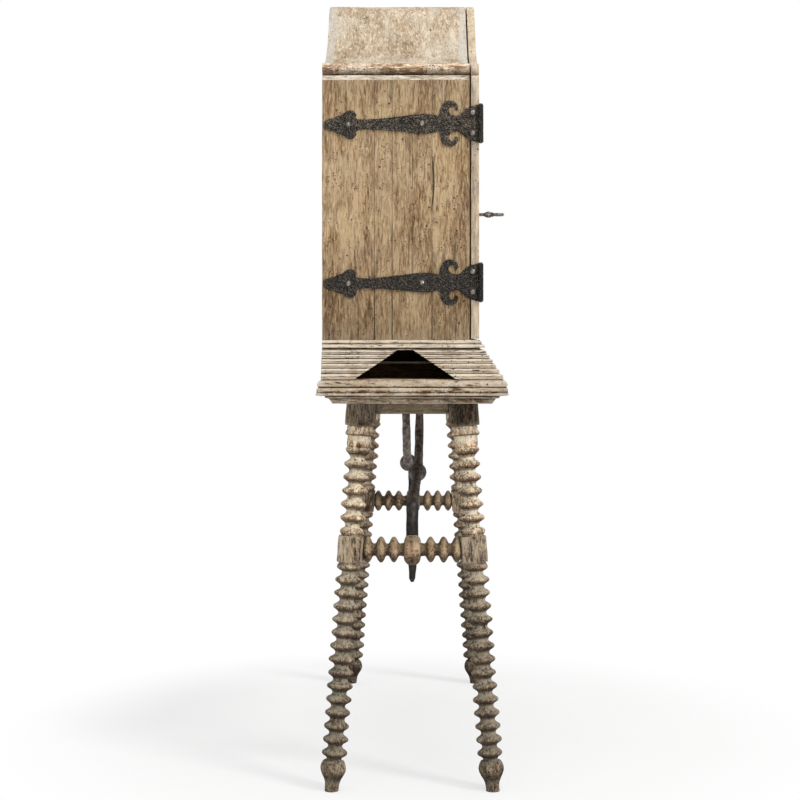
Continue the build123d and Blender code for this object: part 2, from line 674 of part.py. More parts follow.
def key():
    """Key in its hole: bit inside the lock, shank, collar and a ring bow that lies level."""
    inside = DOOR_THICK + LOCK_DEEP - 2 * LOCK_WALL
    stations = [
        (KEY_COLLAR_AT - KEY_COLLAR_HALF, KEY_SHANK_R),
        (KEY_COLLAR_AT, KEY_COLLAR_R),
        (KEY_COLLAR_AT + KEY_COLLAR_HALF, KEY_NECK_R),
        (KEY_REACH - 2 * KEY_BOW_R - KEY_BOW_WIRE / 2, KEY_NECK_R),
    ]
    shank = Pos(0, 0, (KEY_COLLAR_AT - inside) / 2) * Cylinder(KEY_SHANK_R, KEY_COLLAR_AT + inside)
    shank += turned(stations)
    bow_at = KEY_REACH - KEY_BOW_R - KEY_BOW_WIRE
    ring = RegularPolygon(KEY_BOW_R + KEY_BOW_WIRE, FORGED_SIDES)
    ring -= RegularPolygon(KEY_BOW_R - KEY_BOW_WIRE, FORGED_SIDES)
    bow = Pos(0, KEY_BOW_WIRE, bow_at) * Rot(90, 0, 0) * extrude(ring, amount=2 * KEY_BOW_WIRE)
    bit_z = -inside + KEY_BIT_LONG / 2
    bit = Pos((KEY_BIT_TALL + KEY_SHANK_R) / 2 - KEY_FIT, 0, bit_z) * Box(KEY_BIT_TALL - KEY_SHANK_R, KEY_BIT_THICK,
                                                                          KEY_BIT_LONG)
    return at_keyhole(Rot(90, 0, 0) * (shank + bow + bit), DOOR_FRONT_Y)


# ------------------------------------------------------------------ legs
def leg_place(sx, sy):
    """Plane on the soffit where a leg's axis meets it, with Z up along the splayed leg."""
    origin = (sx * LEG_HALF_X, STAND_Y + sy * LEG_HALF_Y, STAND_UNDERSIDE)
    up = (-sx * LEG_SPLAY, -sy * LEG_SPLAY, 1)
    return Plane(origin=origin, x_dir=(1, 0, sx * LEG_SPLAY), z_dir=up)


def along(height):
    """Distance along the leg from the soffit down to a height above the floor."""
    return (STAND_UNDERSIDE - height) * LEG_STRETCH


def rings(start, end, count):
    """Sharp-rimmed rings, each with a neck before it, that share the length between start and end."""
    pitch = (end - start) / count
    stations = []
    for i in range(count):
        stations += [(start + i * pitch, NECK_R), (start + (i + 0.5) * pitch, RING_R)]
    return stations


def mid_block_span():
    """Upper and lower ends of the middle block, along the leg below the soffit."""
    middle = along(STRETCHER_HEIGHT + MID_BLOCK_RAISE)
    return middle - MID_BLOCK_TALL / 2, middle + MID_BLOCK_TALL / 2


def leg_turning():
    """Turned stations (distance below the soffit, radius), from the top block down to the floor."""
    mid_top, mid_foot = mid_block_span()
    upper_end = mid_top - CUSHION_TALL - CUSHION_GAP
    lower_start = mid_foot + CUSHION_TALL + CUSHION_GAP
    collar = BLOCK_DROP + COLLAR_RISE
    stations = [
        (0, COLLAR_GROOVE_R),
        (BLOCK_DROP + POMMEL / 2, COLLAR_GROOVE_R),
        (BLOCK_DROP + POMMEL, COLLAR_R),
        (collar, TOP_RING_R),
        (collar + 2 * POMMEL, BARREL_TURN_R),
        (UPPER_RINGS_FROM - COLLAR_RISE - POMMEL, BARREL_TURN_R),
        (UPPER_RINGS_FROM - COLLAR_RISE, RING_R),
    ]
    stations += rings(UPPER_RINGS_FROM, upper_end, UPPER_RING_COUNT)
    stations += [
        (upper_end, NECK_R),
        (mid_top - CUSHION_TALL - POMMEL, NECK_R),
        (mid_top - CUSHION_TALL, CUSHION_R),
        (mid_foot + CUSHION_TALL, CUSHION_R),
    ]
    stations += rings(lower_start, along(FOOT_NECK_Z), LOWER_RING_COUNT)
    stations += [
        (along(FOOT_NECK_Z), FOOT_NECK_R),
        (along(FOOT_BULB_Z), FOOT_BULB_R),
        (along(FOOT_ANKLE_Z), FOOT_ANKLE_R),
        (along(-FOOT_ANKLE_R), FOOT_ANKLE_R),
    ]
    return stations


def square_block(wide, top, foot):
    """A square block of a turned leg, worked down at its lower and upper ends."""
    corner = wide / math.sqrt(2)
    ends = corner - POMMEL
    return turned([(-foot, ends), (-foot + POMMEL, corner), (-top - POMMEL, corner), (-top, ends)], BLOCK_SIDE_COUNT)


def leg_solid(sx, sy):
    """One leg from one square: top block, rings, middle block, rings and foot."""
    stations = [(-a, r) for a, r in reversed(leg_turning())]
    above = (STAND_HEIGHT - STAND_TOP_THICK - STAND_UNDERSIDE) + BLOCK_WIDE
    body = turned(stations)
    body += square_block(BLOCK_WIDE, -above, BLOCK_DROP)
    body += square_block(MID_BLOCK_WIDE, *mid_block_span())
    placed = leg_place(sx, sy) * body
    keep = box(-2 * STAND_HALF_X, 2 * STAND_HALF_X, -2 * STAND_HALF_Y, 2 * STAND_HALF_Y,
               0, STAND_HEIGHT - STAND_TOP_THICK)
    return placed & keep


# ------------------------------------------------------------------ stretchers
def stretcher_x():
    return LEG_HALF_X + LEG_SPLAY * (STAND_UNDERSIDE - STRETCHER_HEIGHT)


def stretcher_block_y():
    """Inner face of the leg's middle block at the stretcher, from the stand's middle."""
    return LEG_HALF_Y + LEG_SPLAY * (STAND_UNDERSIDE - STRETCHER_HEIGHT) - MID_BLOCK_WIDE / 2


def stretcher_stations():
    """Half of the turning, from the middle ball out to the leg's block."""
    half = [(STRETCHER_BALL_HALF / 2, BALL_SHOULDER * STRETCHER_BALL_R), (STRETCHER_BALL_HALF, STRETCHER_NECK_R)]
    for i in range(3):
        centre = STRETCHER_FIRST + i * STRETCHER_PITCH
        half += [(centre - STRETCHER_DISC_HALF, STRETCHER_NECK_R), (centre, STRETCHER_DISC_R),
                 (centre + STRETCHER_DISC_HALF, STRETCHER_NECK_R)]
    return half


def along_y(shape, sx):
    """Lay a turning made about Z along Y at the stretcher's place."""
    return Pos(sx * stretcher_x(), STAND_Y, STRETCHER_HEIGHT) * Rot(90, 0, 0) * shape


def tenons(radius):
    reach = stretcher_block_y() + TENON_LONG
    return turned([(-reach, radius), (reach, radius)])


def stretcher(sx, legs):
    """Turned stretcher between the middle blocks of one end's legs, tenoned into both."""
    half = stretcher_stations() + [(stretcher_block_y() + POMMEL, STRETCHER_NECK_R)]
    stations = [(-a, r) for a, r in reversed(half)] + [(0, STRETCHER_BALL_R)] + half
    body = along_y(turned(stations), sx)
    for leg in legs:
        body -= leg
    body += along_y(tenons(TENON_R), sx)
    return body - fiador_hole(sx)


# ------------------------------------------------------------------ iron fiadores
def fiador_length():
    """Level distance from the stretcher's axis to the rail under the top."""
    return math.hypot(stretcher_x(), FIADOR_OFFSET)


def fiador_frame():
    """The upright plane of the +X fiador: local x runs from the stretcher to the middle rail."""
    length = fiador_length()
    x_dir = (-stretcher_x() / length, FIADOR_OFFSET / length, 0)
    z_dir = (FIADOR_OFFSET / length, stretcher_x() / length, 0)
    return Plane(origin=(stretcher_x(), STAND_Y, 0), x_dir=x_dir, z_dir=z_dir)


def bent_path(corners, radii):
    """A bar's path through its corners, each bend worked in short straight lengths."""
    points = [corners[0]]
    for edge in FilletPolyline(*corners, radius=radii).edges():
        count = BEND_LENGTH_COUNT if edge.geom_type == GeomType.CIRCLE else 1
        points += [edge @ ((i + 1) / count) for i in range(count)]
    return Polyline(*points)


def bar_section(wide):
    """Chamfered square section of the forged bar."""
    return chamfer(Rectangle(wide, wide).vertices(), FIADOR_CHAMFER * wide / FIADOR_WIDE)


def fiador():
    """The +X iron brace: point through the stretcher's ball, low run with a forged knob, rise to the rail."""
    frame = fiador_frame()
    length = fiador_length()
    start = STRETCHER_HEIGHT - FIADOR_TIP + FIADOR_TAPER
    corners = [(0, start), (0, FIADOR_RUN_LOW), (length, FIADOR_RUN_HIGH), (length, FIADOR_HEAD)]
    path = bent_path(corners, (FIADOR_BEND_LOW, FIADOR_BEND_SHARE * (FIADOR_HEAD - FIADOR_RUN_HIGH)))
    foot = Plane(origin=(0, start, 0), x_dir=(1, 0, 0), z_dir=(0, 1, 0))
    bar = sweep(foot * bar_section(FIADOR_WIDE), path=path, transition=Transition.RIGHT)
    tip_plane = Plane(origin=(0, start - FIADOR_TAPER, 0), x_dir=(1, 0, 0), z_dir=(0, 1, 0))
    tip = loft([tip_plane * bar_section(FIADOR_TIP_WIDE), foot * bar_section(FIADOR_WIDE)])
    slope = math.atan2(FIADOR_RUN_HIGH - FIADOR_RUN_LOW, length)
    knob_at = (KNOB_SHARE * length, FIADOR_RUN_LOW + KNOB_SHARE * length * math.tan(slope), 0)
    along_run = Plane(origin=knob_at, x_dir=(0, 0, 1), z_dir=(math.cos(slope), math.sin(slope), 0))
    knob = along_run * turned([
        (-KNOB_HALF, KNOB_FLAT_R), (-KNOB_HALF / 2, KNOB_SHOULDER * KNOB_R), (0, KNOB_R),
        (KNOB_HALF / 2, KNOB_SHOULDER * KNOB_R), (KNOB_HALF, KNOB_FLAT_R)])
    return frame * (bar + tip + knob)


def fiador_hole(sx):
    """Clearance through the stretcher's ball for the bar."""
    plane = Plane(origin=(0, STRETCHER_HEIGHT - 2 * STRETCHER_BALL_R, 0), x_dir=(1, 0, 0), z_dir=(0, 1, 0))
    hole = extrude(plane * bar_section(FIADOR_WIDE + 2 * FIADOR_FIT), amount=4 * STRETCHER_BALL_R)
    placed = fiador_frame() * hole
    return placed if sx > 0 else half_turn(placed)


def half_turn(shape):
    """Turn a part of the stand half round about the stand's upright middle axis."""
    return Pos(0, STAND_Y, 0) * Rot(0, 0, 180) * Pos(0, -STAND_Y, 0) * shape


def fiador_plate():
    """Iron plate under the middle rail that both fiadores are welded to."""
    wide, long = FIADOR_PLATE
    plate = box(-wide / 2, wide / 2, STAND_Y - long / 2, STAND_Y + long / 2, FIADOR_HEAD, FIADOR_HEAD + PLATE)
    return plate


def fiador_screws():
    """Screw heads under the corners of that plate."""
    wide, long = FIADOR_PLATE
    screws = []
    for sx in (-1, 1):
        for sy in (-1, 1):
            x = sx * (wide / 2 - 2 * SCREW_HEAD_R)
            y = STAND_Y + sy * (long / 2 - 2 * SCREW_HEAD_R)
            head = extrude(RegularPolygon(SCREW_HEAD_R, RIVET_SIDES), amount=SCREW_HEAD)
            screws.append(Pos(x, y, FIADOR_HEAD - SCREW_HEAD) * head)
    return screws


# ------------------------------------------------------------------ stand frame
def aprons():
    """Four boards between the leg blocks, and the rail across the middle."""
    x1 = LEG_HALF_X + BLOCK_HALF - APRON_SETBACK
    y1 = LEG_HALF_Y + BLOCK_HALF - APRON_SETBACK
    top = STAND_HEIGHT - STAND_TOP_THICK
    front = box(-x1, x1, STAND_Y - y1, STAND_Y - y1 + APRON_THICK, APRON_BOTTOM, top)
    back = box(-x1, x1, STAND_Y + y1 - APRON_THICK, STAND_Y + y1, APRON_BOTTOM, top)
    inner_y = y1 - APRON_THICK
    right = box(x1 - APRON_THICK, x1, STAND_Y - inner_y, STAND_Y + inner_y, APRON_BOTTOM, top)
    rail = box(-RAIL_WIDE / 2, RAIL_WIDE / 2, STAND_Y - inner_y, STAND_Y + inner_y, top - RAIL_TALL, top)
    return front, back, right, rail


def moulding_outline():
    """Stand moulding, (out, up): rounded upper edge, band, fillet and cove down to the soffit."""
    inner = -APRON_SETBACK
    top = STAND_HEIGHT
    out = STAND_OVERHANG
    ease = MOULDING_EASE * (1 - math.sqrt(0.5))
    middle = top - MOULDING_ROUND * (1 - math.sqrt(0.5))
    band = top - MOULDING_BAND
    fillet = band - MOULDING_FILLET
    cove_out = MOULDING_LIP_OUT + MOULDING_COVE * (MOULDING_FILLET_OUT - MOULDING_LIP_OUT)
    cove_up = (fillet + STAND_UNDERSIDE) / 2
    return make_face(Curve() + [
        Polyline((MOULDING_LIP_OUT, STAND_UNDERSIDE), (inner, STAND_UNDERSIDE), (inner, top),
                 (out - MOULDING_EASE, top)),
        ThreePointArc((out - MOULDING_EASE, top), (out - ease, middle), (out, top - MOULDING_ROUND)),
        Polyline((out, top - MOULDING_ROUND), (out, band), (MOULDING_FILLET_OUT, band),
                 (MOULDING_FILLET_OUT, fillet)),
        ThreePointArc((MOULDING_FILLET_OUT, fillet), (cove_out, cove_up), (MOULDING_LIP_OUT, STAND_UNDERSIDE)),
    ])


def mitred(outline, half_x, half_y, y_mid):
    """Four mitred lengths of one section around a rectangle: front, back and the +X end."""
    reach = 4 * STAND_OVERHANG
    front_plane = Plane(origin=(-half_x - reach, y_mid - half_y, 0), x_dir=(0, -1, 0), z_dir=(1, 0, 0))
    front_plane = Plane(origin=front_plane.origin, x_dir=(0, -1, 0), z_dir=(-1, 0, 0))
    front = extrude(front_plane * outline, amount=-2 * (half_x + reach))
    right_plane = Plane(origin=(half_x, y_mid - half_y - reach, 0), x_dir=(1, 0, 0), z_dir=(0, -1, 0))
    right = extrude(right_plane * outline, amount=-2 * (half_y + reach))
    corner = half_x + 2 * reach
    wedge_front = extrude(polygon([
        (half_x - half_y, y_mid), (corner, y_mid - half_y - 2 * reach),
        (-corner, y_mid - half_y - 2 * reach), (-half_x + half_y, y_mid)]), amount=2 * STAND_HEIGHT)
    wedge_right = extrude(polygon([
        (half_x - half_y, y_mid), (corner, y_mid - half_y - 2 * reach),
        (corner, y_mid + half_y + 2 * reach)]), amount=2 * STAND_HEIGHT)
    return front & wedge_front, right & wedge_right


def stand_mouldings():
    """Front, back and +X end lengths of the stand's moulding."""
    half_x = LEG_HALF_X + BLOCK_HALF
    half_y = LEG_HALF_Y + BLOCK_HALF
    front, right = mitred(moulding_outline(), half_x, half_y, STAND_Y)
    return front, half_turn(front), right


def stand_top():
    x1 = LEG_HALF_X + BLOCK_HALF - APRON_SETBACK
    y1 = LEG_HALF_Y + BLOCK_HALF - APRON_SETBACK
    return box(-x1, x1, STAND_Y - y1, STAND_Y + y1, STAND_HEIGHT - STAND_TOP_THICK, STAND_HEIGHT)


# ------------------------------------------------------------------ plinth
def skirt_outline():
    """Reeded skirt board: stepped ribs on a leaning board, (out, up) from the face above and the stand."""
    step = SKIRT_RISE / SKIRT_RIB_COUNT
    lean = (SKIRT_FOOT_OUT - SKIRT_TOP_OUT) / SKIRT_RIB_COUNT
    points = []
    for i in range(SKIRT_RIB_COUNT):
        out = SKIRT_TOP_OUT + i * lean
        z = STAND_HEIGHT + SKIRT_RISE - i * step
        points += [(out, z), (out + RIB_NOSE + lean / 2, z - step / 4), (out + lean, z - 0.8 * step),
                   (out + lean - RIB_NOSE / 2, z - step)]
    points += [(SKIRT_FOOT_OUT - SKIRT_BOARD, STAND_HEIGHT), (SKIRT_TOP_OUT - SKIRT_BOARD, STAND_HEIGHT + SKIRT_RISE)]
    return polygon(points)


def base_outline():
    """Base moulding: two bands over a tongue that leaves the shadow gap."""
    foot = CABINET_Z - BASE_RISE
    return polygon([
        (-BASE_INNER, CABINET_Z),
        (0, CABINET_Z),
        (BASE_STEP, CABINET_Z - BASE_RISE / 2),
        (BASE_OUT - BASE_STEP / 2, CABINET_Z - BASE_RISE / 2),
        (BASE_OUT, foot + BASE_STEP / 2),
        (BASE_OUT, foot),
        (SKIRT_TOP_OUT - QUIRK_DEEP, foot),
        (SKIRT_TOP_OUT - QUIRK_DEEP, foot - QUIRK),
        (-BASE_INNER, foot - QUIRK),
    ])


def around_cabinet(outline):
    """Front and +X end lengths of a section that runs round the cabinet, with square backs."""
    half_y = (CABINET_BACK_Y - DOOR_FRONT_Y)
    front, right = mitred(outline, END_X, half_y, CABINET_BACK_Y)
    keep = box(-2 * END_X, 2 * END_X, DOOR_FRONT_Y - 4 * STAND_OVERHANG, CABINET_BACK_Y, 0, 2 * STAND_HEIGHT)
    return front & keep, right & keep


def skirts():
    """Front skirt, and the two skirt boards of the +X end on either side of the wedge opening."""
    front, right = around_cabinet(skirt_outline())
    middle = STAND_Y + NOTCH_OFFSET
    top = STAND_HEIGHT + SKIRT_RISE
    notch = polygon([
        (middle - NOTCH_FOOT / 2, STAND_HEIGHT), (middle + NOTCH_FOOT / 2, STAND_HEIGHT),
        (middle + NOTCH_TOP / 2, top), (middle - NOTCH_TOP / 2, top)])
    cut = right - prism_x(notch, 0, 2 * END_X)
    ends = cut.solids().sort_by(Axis.Y)
    return front, ends[0], ends[-1]


def plinth_back():
    """Plain board that closes the plinth behind, between the end skirts."""
    x1 = END_X + SKIRT_TOP_OUT - SKIRT_BOARD
    y1 = CABINET_BACK_Y
    return box(-x1, x1, y1 - SKIRT_BOARD, y1, STAND_HEIGHT, STAND_HEIGHT + SKIRT_RISE)


def plinth_bearers():
    """Bearers between the front skirt and the back board that carry the cabinet."""
    y0 = DOOR_FRONT_Y + SKIRT_BOARD - SKIRT_TOP_OUT
    y1 = CABINET_BACK_Y - SKIRT_BOARD
    top = STAND_HEIGHT + SKIRT_RISE
    return [box(x - BEARER_WIDE / 2, x + BEARER_WIDE / 2, y0, y1, STAND_HEIGHT, top) for x in BEARERS]


def locating_rail():
    """Low rail on the stand's top, seen through the +X end's wedge opening."""
    x1 = END_X - STOP_SETBACK
    y0 = DOOR_FRONT_Y + SKIRT_BOARD
    y1 = CABINET_BACK_Y - SKIRT_BOARD
    return box(x1 - STOP_THICK, x1, y0, y1, STAND_HEIGHT, STAND_HEIGHT + STOP_TALL)


def base_back():
    """Back length of the base moulding's frame, plain and flush."""
    x1 = END_X - BASE_INNER
    y0 = CABINET_BACK_Y - BASE_INNER
    return box(-x1, x1, y0, CABINET_BACK_Y, CABINET_Z - BASE_RISE - QUIRK, CABINET_Z)


# ------------------------------------------------------------------ assembly
def cabinet_nodes():
    bead = shoulder_bead()
    top = top_board()
    ends = end_boards()
    nodes = {
        "end_boards_right": ends,
        "end_boards_left": [mirror_x(board) for board in ends],
        "shoulder_bead_right": [bead],
        "shoulder_bead_left": [mirror_x(bead)],
        "top_board_right": [top],
        "top_board_left": [mirror_x(top)],
        "back_boards": back_boards(bead, top),
        "cabinet_bottom": [cabinet_bottom()],
        "shelves": [shelf(level) for level in SHELF_LEVELS],
        "shelf_cleats": shelf_cleats(),
    }
    return nodes


def door_nodes():
    left = [mirror_x(board) for board in door_boards(False)]
    ledges = door_ledges()
    return {
        "door_right_boards": door_boards(True),
        "door_left_boards": left,
        "door_right_ledges": ledges,
        "door_left_ledges": [mirror_x(ledge) for ledge in ledges],
        "escutcheon": [escutcheon()],
        "lock_case": [lock_case()],
        "lock_bolt": [lock_bolt()],
        "lock_keeper": [lock_keeper()],
        "key": [key()],
    }


def hinge_nodes():
    shared_names = ("hinge_pins", "strap_overlays", "strap_rivets", "leaf_rivets_right", "leaf_rivets_left",
                    "leaves_right", "leaves_left")
    nodes = {name: [] for name in shared_names}
    for name, level in zip(("lower", "upper"), HINGE_LEVELS):
        fixed = hinge_on_end(strap(), level)
        moving = hinge_on_end(leaf(), level)
        nodes[f"strap_{name}_right"] = [fixed]
        nodes[f"strap_{name}_left"] = [mirror_x(fixed)]
        nodes["leaves_right"].append(moving)
        nodes["leaves_left"].append(mirror_x(moving))
        shared = {"hinge_pins": [hinge_pin()], "strap_overlays": [overlay()], "strap_rivets": strap_rivets()}
        for kind, shapes in shared.items():
            placed = [hinge_on_end(shape, level) for shape in shapes]
            nodes[kind] += placed + [mirror_x(shape) for shape in placed]
        rivets = [hinge_on_end(shape, level) for shape in leaf_rivets()]
        nodes["leaf_rivets_right"] += rivets
        nodes["leaf_rivets_left"] += [mirror_x(shape) for shape in rivets]
    return nodes


def stand_nodes():
    legs = {}
    for side, sx in (("left", -1), ("right", 1)):
        for place, sy in (("front", -1), ("back", 1)):
            legs[place, side] = leg_solid(sx, sy)
    nodes = {}
    for side, sx in (("left", -1), ("right", 1)):
        pair = [legs["front", side], legs["back", side]]
        nodes[f"stretcher_{side}"] = [stretcher(sx, pair)]
        bore = along_y(tenons(TENON_R + TENON_FIT), sx)
        for place in ("front", "back"):
            nodes[f"leg_{place}_{side}"] = [legs[place, side] - bore]
    front, back, right, rail = aprons()
    cut = {"apron_front": front, "apron_back": back, "apron_right": right, "apron_left": mirror_x(right)}
    moulding_front, moulding_back, moulding_right = stand_mouldings()
    cut["moulding_front"] = moulding_front
    cut["moulding_back"] = moulding_back
    cut["moulding_right"] = moulding_right
    cut["moulding_left"] = mirror_x(moulding_right)
    for name, board in cut.items():
        for leg in legs.values():
            board -= leg
        nodes[name] = [board]
    brace = fiador()
    nodes["stand_rail"] = [rail]
    nodes["stand_top"] = [stand_top()]
    nodes["fiador_right"] = [brace]
    nodes["fiador_left"] = [half_turn(brace)]
    nodes["fiador_plate"] = [fiador_plate()]
    nodes["fiador_screws"] = fiador_screws()
    return nodes


def plinth_nodes():
    front, end_front, end_back = skirts()
    base_front, base_right = around_cabinet(base_outline())
    rail = locating_rail()
    return {
        "skirt_front": [front],
        "skirts_right": [end_front, end_back],
        "skirts_left": [mirror_x(end_front), mirror_x(end_back)],
        "plinth_back": [plinth_back()],
        "plinth_bearers": plinth_bearers(),
        "locating_rails": [rail, mirror_x(rail)],
        "base_front": [base_front],
        "base_right": [base_right],
        "base_left": [mirror_x(base_right)],
        "base_back": [base_back()],
    }


def main():
    os.makedirs("parts", exist_ok=True)
    nodes = {}
    for group in (cabinet_nodes(), door_nodes(), hinge_nodes(), stand_nodes(), plinth_nodes()):
        nodes.update(group)
    for name, solids in nodes.items():
        pieces = [solid for shape in solids for solid in shape.solids()]
        shape = pieces[0] if len(pieces) == 1 else Compound(pieces)
        export_step(shape, f"parts/{name}.step")
    print(len(nodes), "nodes")


main()
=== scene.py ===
"""Looks of the vargueno on its stand: worn limed wood, turned legs and hammered iron."""

import math
import random

import bmesh
import bpy
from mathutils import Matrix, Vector, noise


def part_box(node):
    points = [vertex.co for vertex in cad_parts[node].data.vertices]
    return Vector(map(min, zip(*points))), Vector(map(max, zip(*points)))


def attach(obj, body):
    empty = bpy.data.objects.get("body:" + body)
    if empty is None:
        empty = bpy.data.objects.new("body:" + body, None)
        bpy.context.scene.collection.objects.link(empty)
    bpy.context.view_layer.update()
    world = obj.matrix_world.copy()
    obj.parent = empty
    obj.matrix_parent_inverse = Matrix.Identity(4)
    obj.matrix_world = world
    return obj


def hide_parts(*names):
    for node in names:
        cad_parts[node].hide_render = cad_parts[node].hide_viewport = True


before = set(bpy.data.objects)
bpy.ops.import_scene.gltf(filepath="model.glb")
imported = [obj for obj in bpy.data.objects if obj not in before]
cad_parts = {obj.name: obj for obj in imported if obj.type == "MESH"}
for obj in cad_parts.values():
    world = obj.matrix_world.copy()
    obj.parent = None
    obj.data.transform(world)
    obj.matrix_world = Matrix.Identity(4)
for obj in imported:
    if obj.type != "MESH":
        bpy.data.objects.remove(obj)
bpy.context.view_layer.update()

# ------------------------------------------------------------------ places, in metres
CARCASS = "carcass"
SIDES = (("right", 1), ("left", -1))
END_X = 0.540                 # outer face of the end panels
CAB_Z = 1.000                 # underside of the cabinet's end panels
BACK_Y = 0.21375
FRONT_Y = -0.11625
CABINET_Y = (BACK_Y + FRONT_Y) / 2
DOOR_BACK = -0.11975
DOOR_FRONT = -0.13775
END_TALL = 0.582              # height of the end panels below their sloping fillet
STAND_Y = 0.01195             # middle of the stand
STAND_TOP = 0.913
SOFFIT = 0.859
TOP_BOARD = 0.018
LEG_X = 0.5025                # leg axes at the soffit
LEG_Y = 0.1138
SPLAY = 0.0761                # outward run of a leg per metre of drop, both ways
STRETCH_Z = 0.617 * SOFFIT
STRETCH_X = LEG_X + SPLAY * (SOFFIT - STRETCH_Z)


# ------------------------------------------------------------------ node materials
class Graph:
    """Short calls for building a material's nodes."""

    def __init__(self, name):
        self.mat = bpy.data.materials.new(name)
        self.mat.use_nodes = True
        self.nodes = self.mat.node_tree.nodes
        self.links = self.mat.node_tree.links
        self.shader = next(n for n in self.nodes if n.type == "BSDF_PRINCIPLED")
        self.object = self.make("TexCoord").outputs["Object"]

    def put(self, socket, value):
        if isinstance(value, (int, float)):
            socket.default_value = value
        elif isinstance(value, tuple):
            socket.default_value = value if len(value) != 3 or socket.type == "VECTOR" else (*value, 1.0)
        else:
            self.links.new(value, socket)

    def make(self, kind, **inputs):
        node = self.nodes.new("ShaderNode" + kind)
        for name, value in inputs.items():
            self.put(node.inputs[name], value)
        return node

    def scaled(self, vector, scale, shift=(0, 0, 0)):
        return self.make("Mapping", Vector=vector, Scale=scale, Location=shift).outputs["Vector"]

    def noise(self, vector, scale, detail=4.0, rough=0.55, distort=0.0):
        return self.make("TexNoise", Vector=vector, Scale=scale, Detail=detail, Roughness=rough,
                         Distortion=distort).outputs["Fac"]

    def cells(self, vector, scale):
        return self.make("TexVoronoi", Vector=vector, Scale=scale).outputs["Distance"]

    def ramp(self, value, *stops, mode="LINEAR"):
        node = self.nodes.new("ShaderNodeValToRGB")
        node.color_ramp.interpolation = mode
        points = node.color_ramp.elements
        while len(points) < len(stops):
            points.new(0.5)
        for point, (place, colour) in zip(points, stops):
            point.position = place
            point.color = (colour,) * 3 + (1.0,) if isinstance(colour, float) else (*colour, 1.0)
        self.put(node.inputs["Fac"], value)
        return node.outputs["Color"]

    def rise(self, value, low, high):
        """0 up to low and 1 from high on."""
        return self.ramp(value, (low, 0.0), (high, 1.0))

    def fall(self, value, low, high):
        """1 up to low and 0 from high on."""
        return self.ramp(value, (low, 1.0), (high, 0.0))

    def mix(self, factor, a, b, blend="MIX"):
        node = self.nodes.new("ShaderNodeMix")
        node.data_type = "RGBA"
        node.blend_type = blend
        for name, value in (("Factor", factor), ("A", a), ("B", b)):
            self.put(node.inputs[name], value)
        return node.outputs["Result"]

    def lay(self, under, over, mask, amount):
        """One colour laid over another where mask is 1, by the given amount."""
        return self.mix(self.mul(mask, amount), under, over)

    def math(self, op, a, b=0.0):
        node = self.nodes.new("ShaderNodeMath")
        node.operation = op
        self.put(node.inputs[0], a)
        self.put(node.inputs[1], b)
        return node.outputs["Value"]

    def mul(self, a, b):
        return self.math("MULTIPLY", a, b)

    def add(self, a, b):
        return self.math("ADD", a, b)

    def sub(self, a, b):
        return self.math("SUBTRACT", a, b)

    def most(self, a, b):
        return self.math("MAXIMUM", a, b)

    def size(self, a):
        return self.math("ABSOLUTE", a)

    def parts(self, vector):
        return self.make("SeparateXYZ", Vector=vector).outputs

    def crest(self):
        """1 on the rims of mouldings and turnings, 0 in their grooves."""
        node = self.nodes.new("ShaderNodeAttribute")
        node.attribute_name = "crest"
        return node.outputs["Fac"]

    def by_height(self, levels):
        """Brightness by height above the floor; levels are (metres, value)."""
        z = self.mul(self.parts(self.object)["Z"], 0.5)
        return self.ramp(z, *((height / 2, value) for height, value in levels))

    def facing_up(self):
        """How far a surface faces up, -1 to 1."""
        return self.parts(self.make("NewGeometry").outputs["Normal"])["Z"]

    def pointy(self):
        """Above 0.5 on convex edges and below it in corners."""
        return self.make("NewGeometry").outputs["Pointiness"]

    def bump(self, height, strength, distance, under=None):
        node = self.make("Bump", Strength=strength, Distance=distance, Height=height)
        if under is not None:
            self.put(node.inputs["Normal"], under)
        return node.outputs["Normal"]

    def finish(self, colour, rough, normal, **plain):
        self.put(self.shader.inputs["Base Color"], colour)
        self.put(self.shader.inputs["Roughness"], rough)
        self.put(self.shader.inputs["Normal"], normal)
        for name, value in plain.items():
            self.shader.inputs[name.replace("_", " ")].default_value = value
        return self.mat


def srgb(*rgb):
    """Linear colour from 0-255 values."""
    return tuple(round(((v / 255 + 0.055) / 1.055) ** 2.4 if v > 10 else v / 255 / 12.92, 5) for v in rgb)


def grained(grain, factor):
    """The grain's scale triple with its long direction drawn out further by factor."""
    return tuple(v if v == 1.0 else v * factor for v in grain)


MIDTONE = 0.49                # value of the figure's noise that takes the middle tone
WOOD_ROUGH = 0.78


